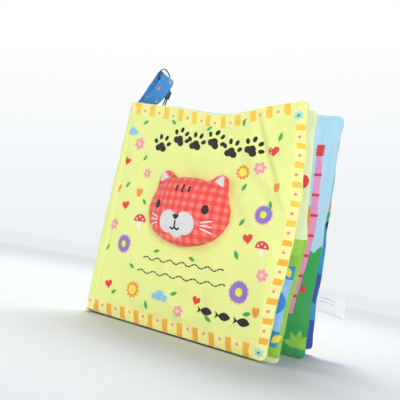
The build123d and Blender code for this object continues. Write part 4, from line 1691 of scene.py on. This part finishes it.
class CLOTHBOOK_OT_stage(bpy.types.Operator):
    """Makes the pale floor, the backdrop, the soft lights and the camera"""

    bl_idname = "cloth_book.stage"
    bl_label = "Stage"

    def execute(self, context):
        scene = context.scene
        bm = bmesh.new()
        bmesh.ops.create_circle(bm, cap_ends=True, segments=96, radius=3.0)
        floor = new_piece("stage_floor", mesh_of(bm, "stage_floor"))
        # Smooth matt paper: an even tone with no shine, which only takes the book's shadow.
        material, tree = new_material("matt_paper_floor")
        place = add(tree, "TexCoord", out=3)
        grain = add(tree, "TexNoise", place, 300.0, 2.0)
        bump = add(tree, "Bump", 0.1, MM, 1.0, grain)
        paper = add(tree, "BsdfPrincipled", colours().floor, 0.0, 0.9)
        tree.links.new(bump, paper.node.inputs["Normal"])
        haze = add(tree, "Emission", linear("#EBEEF0"), 1.0)
        far = add(tree, "VectorMath", place, operation="LENGTH")
        fade = add(tree, "MapRange", far, 0.5, 1.3, 0.0, 1.0)
        fade = add(tree, "Math", fade, add(tree, "LightPath"), operation="MULTIPLY")
        add(tree, "OutputMaterial", add(tree, "MixShader", fade, paper, haze))
        floor.data.materials.append(material)

        world = bpy.data.worlds.new("studio")
        scene.world = world
        world.use_nodes = True
        tree = world.node_tree
        tree.nodes.clear()
        edge = tuple(DOWN - FORWARD * 0.03)
        height = add(tree, "VectorMath", add(tree, "TexCoord"), edge, operation="DOT_PRODUCT")
        below = add(tree, "MapRange", height, -0.02, 0.0, 0.0, 1.0)
        grey = add(tree, "MapRange", height, -0.28, -0.04, 0.0, 1.0)
        backdrop = printed(
            tree, linear("#FFFFFF"), (grey, linear("#F1F5F8")), (below, linear("#EFF2F4"))
        )
        seen = add(tree, "Background", backdrop, 1.0)
        room = add(tree, "Background", linear("#F4F7FA"), 0.31)
        rays = add(tree, "LightPath").node.outputs
        plain = either(tree, rays["Is Camera Ray"], rays["Is Glossy Ray"])
        add(tree, "OutputWorld", add(tree, "MixShader", plain, room, seen))

        for name, place, aim, width, height, power in (
            ("left_softbox", (-1.0, -0.85, 0.55), (0.06, 0, 0.1), 0.45, 0.45, 5.2),
            ("right_softbox", (0.86, -1.1, 0.34), (0.12, 0, 0.1), 0.45, 0.45, 9.0),
            ("top_softbox", (-0.14, 0.48, 1.05), (0.08, 0, 0.0), 0.7, 0.5, 12.8),
        ):
            lamp = bpy.data.lights.new(name, "AREA")
            lamp.shape = "RECTANGLE"
            lamp.size, lamp.size_y, lamp.energy = width, height, power
            light = new_piece(name, lamp)
            light.location = place
            light.rotation_euler = (Vector(aim) - Vector(place)).to_track_quat("-Z", "Y").to_euler()

        lens = bpy.data.cameras.new("photograph_view")
        lens.lens, lens.sensor_width = 54.0, 36.0
        lens.sensor_fit = "HORIZONTAL"
        lens.clip_start, lens.clip_end = 0.01, 20.0
        camera = new_piece("photograph_view", lens)
        turn = Matrix((RIGHT, -DOWN, -FORWARD)).transposed()
        camera.matrix_world = Matrix.Translation(EYE) @ turn.normalized().to_4x4()
        scene.camera = camera
        scene.view_settings.view_transform = "Standard"
        return {"FINISHED"}


class CLOTHBOOK_PT_panel(bpy.types.Panel):
    """The book's pieces, in the order they are sewn"""

    bl_label = "Cloth Book"
    bl_idname = "CLOTHBOOK_PT_panel"
    bl_space_type = "VIEW_3D"
    bl_region_type = "UI"
    bl_category = "Cloth Book"

    def draw(self, context):
        for operator in STEPS:
            self.layout.operator(operator.bl_idname)
        for group in (context.scene.cloth_book_sizes, context.scene.cloth_book_colours):
            for name in group.__annotations__:
                self.layout.prop(group, name)


STEPS = (
    CLOTHBOOK_OT_stage,
    CLOTHBOOK_OT_cord,
    CLOTHBOOK_OT_front_cover,
    CLOTHBOOK_OT_head,
    CLOTHBOOK_OT_inner_sheet,
    CLOTHBOOK_OT_back_cover,
    CLOTHBOOK_OT_spine,
    CLOTHBOOK_OT_ribbon,
)
CLASSES = (ClothBookSizes, ClothBookColours, *STEPS, CLOTHBOOK_PT_panel)


def register():
    """Makes the add-on's classes and properties known."""
    for item in CLASSES:
        bpy.utils.register_class(item)
    bpy.types.Scene.cloth_book_sizes = bpy.props.PointerProperty(type=ClothBookSizes)
    bpy.types.Scene.cloth_book_colours = bpy.props.PointerProperty(type=ClothBookColours)


def unregister():
    """Takes back what register does."""
    del bpy.types.Scene.cloth_book_colours
    del bpy.types.Scene.cloth_book_sizes
    for item in reversed(CLASSES):
        bpy.utils.unregister_class(item)


def main():
    """Makes the whole book in order."""
    register()
    for step in STEPS:
        group, name = step.bl_idname.split(".")
        getattr(getattr(bpy.ops, group), name)()


if __name__ == "__main__":
    main()
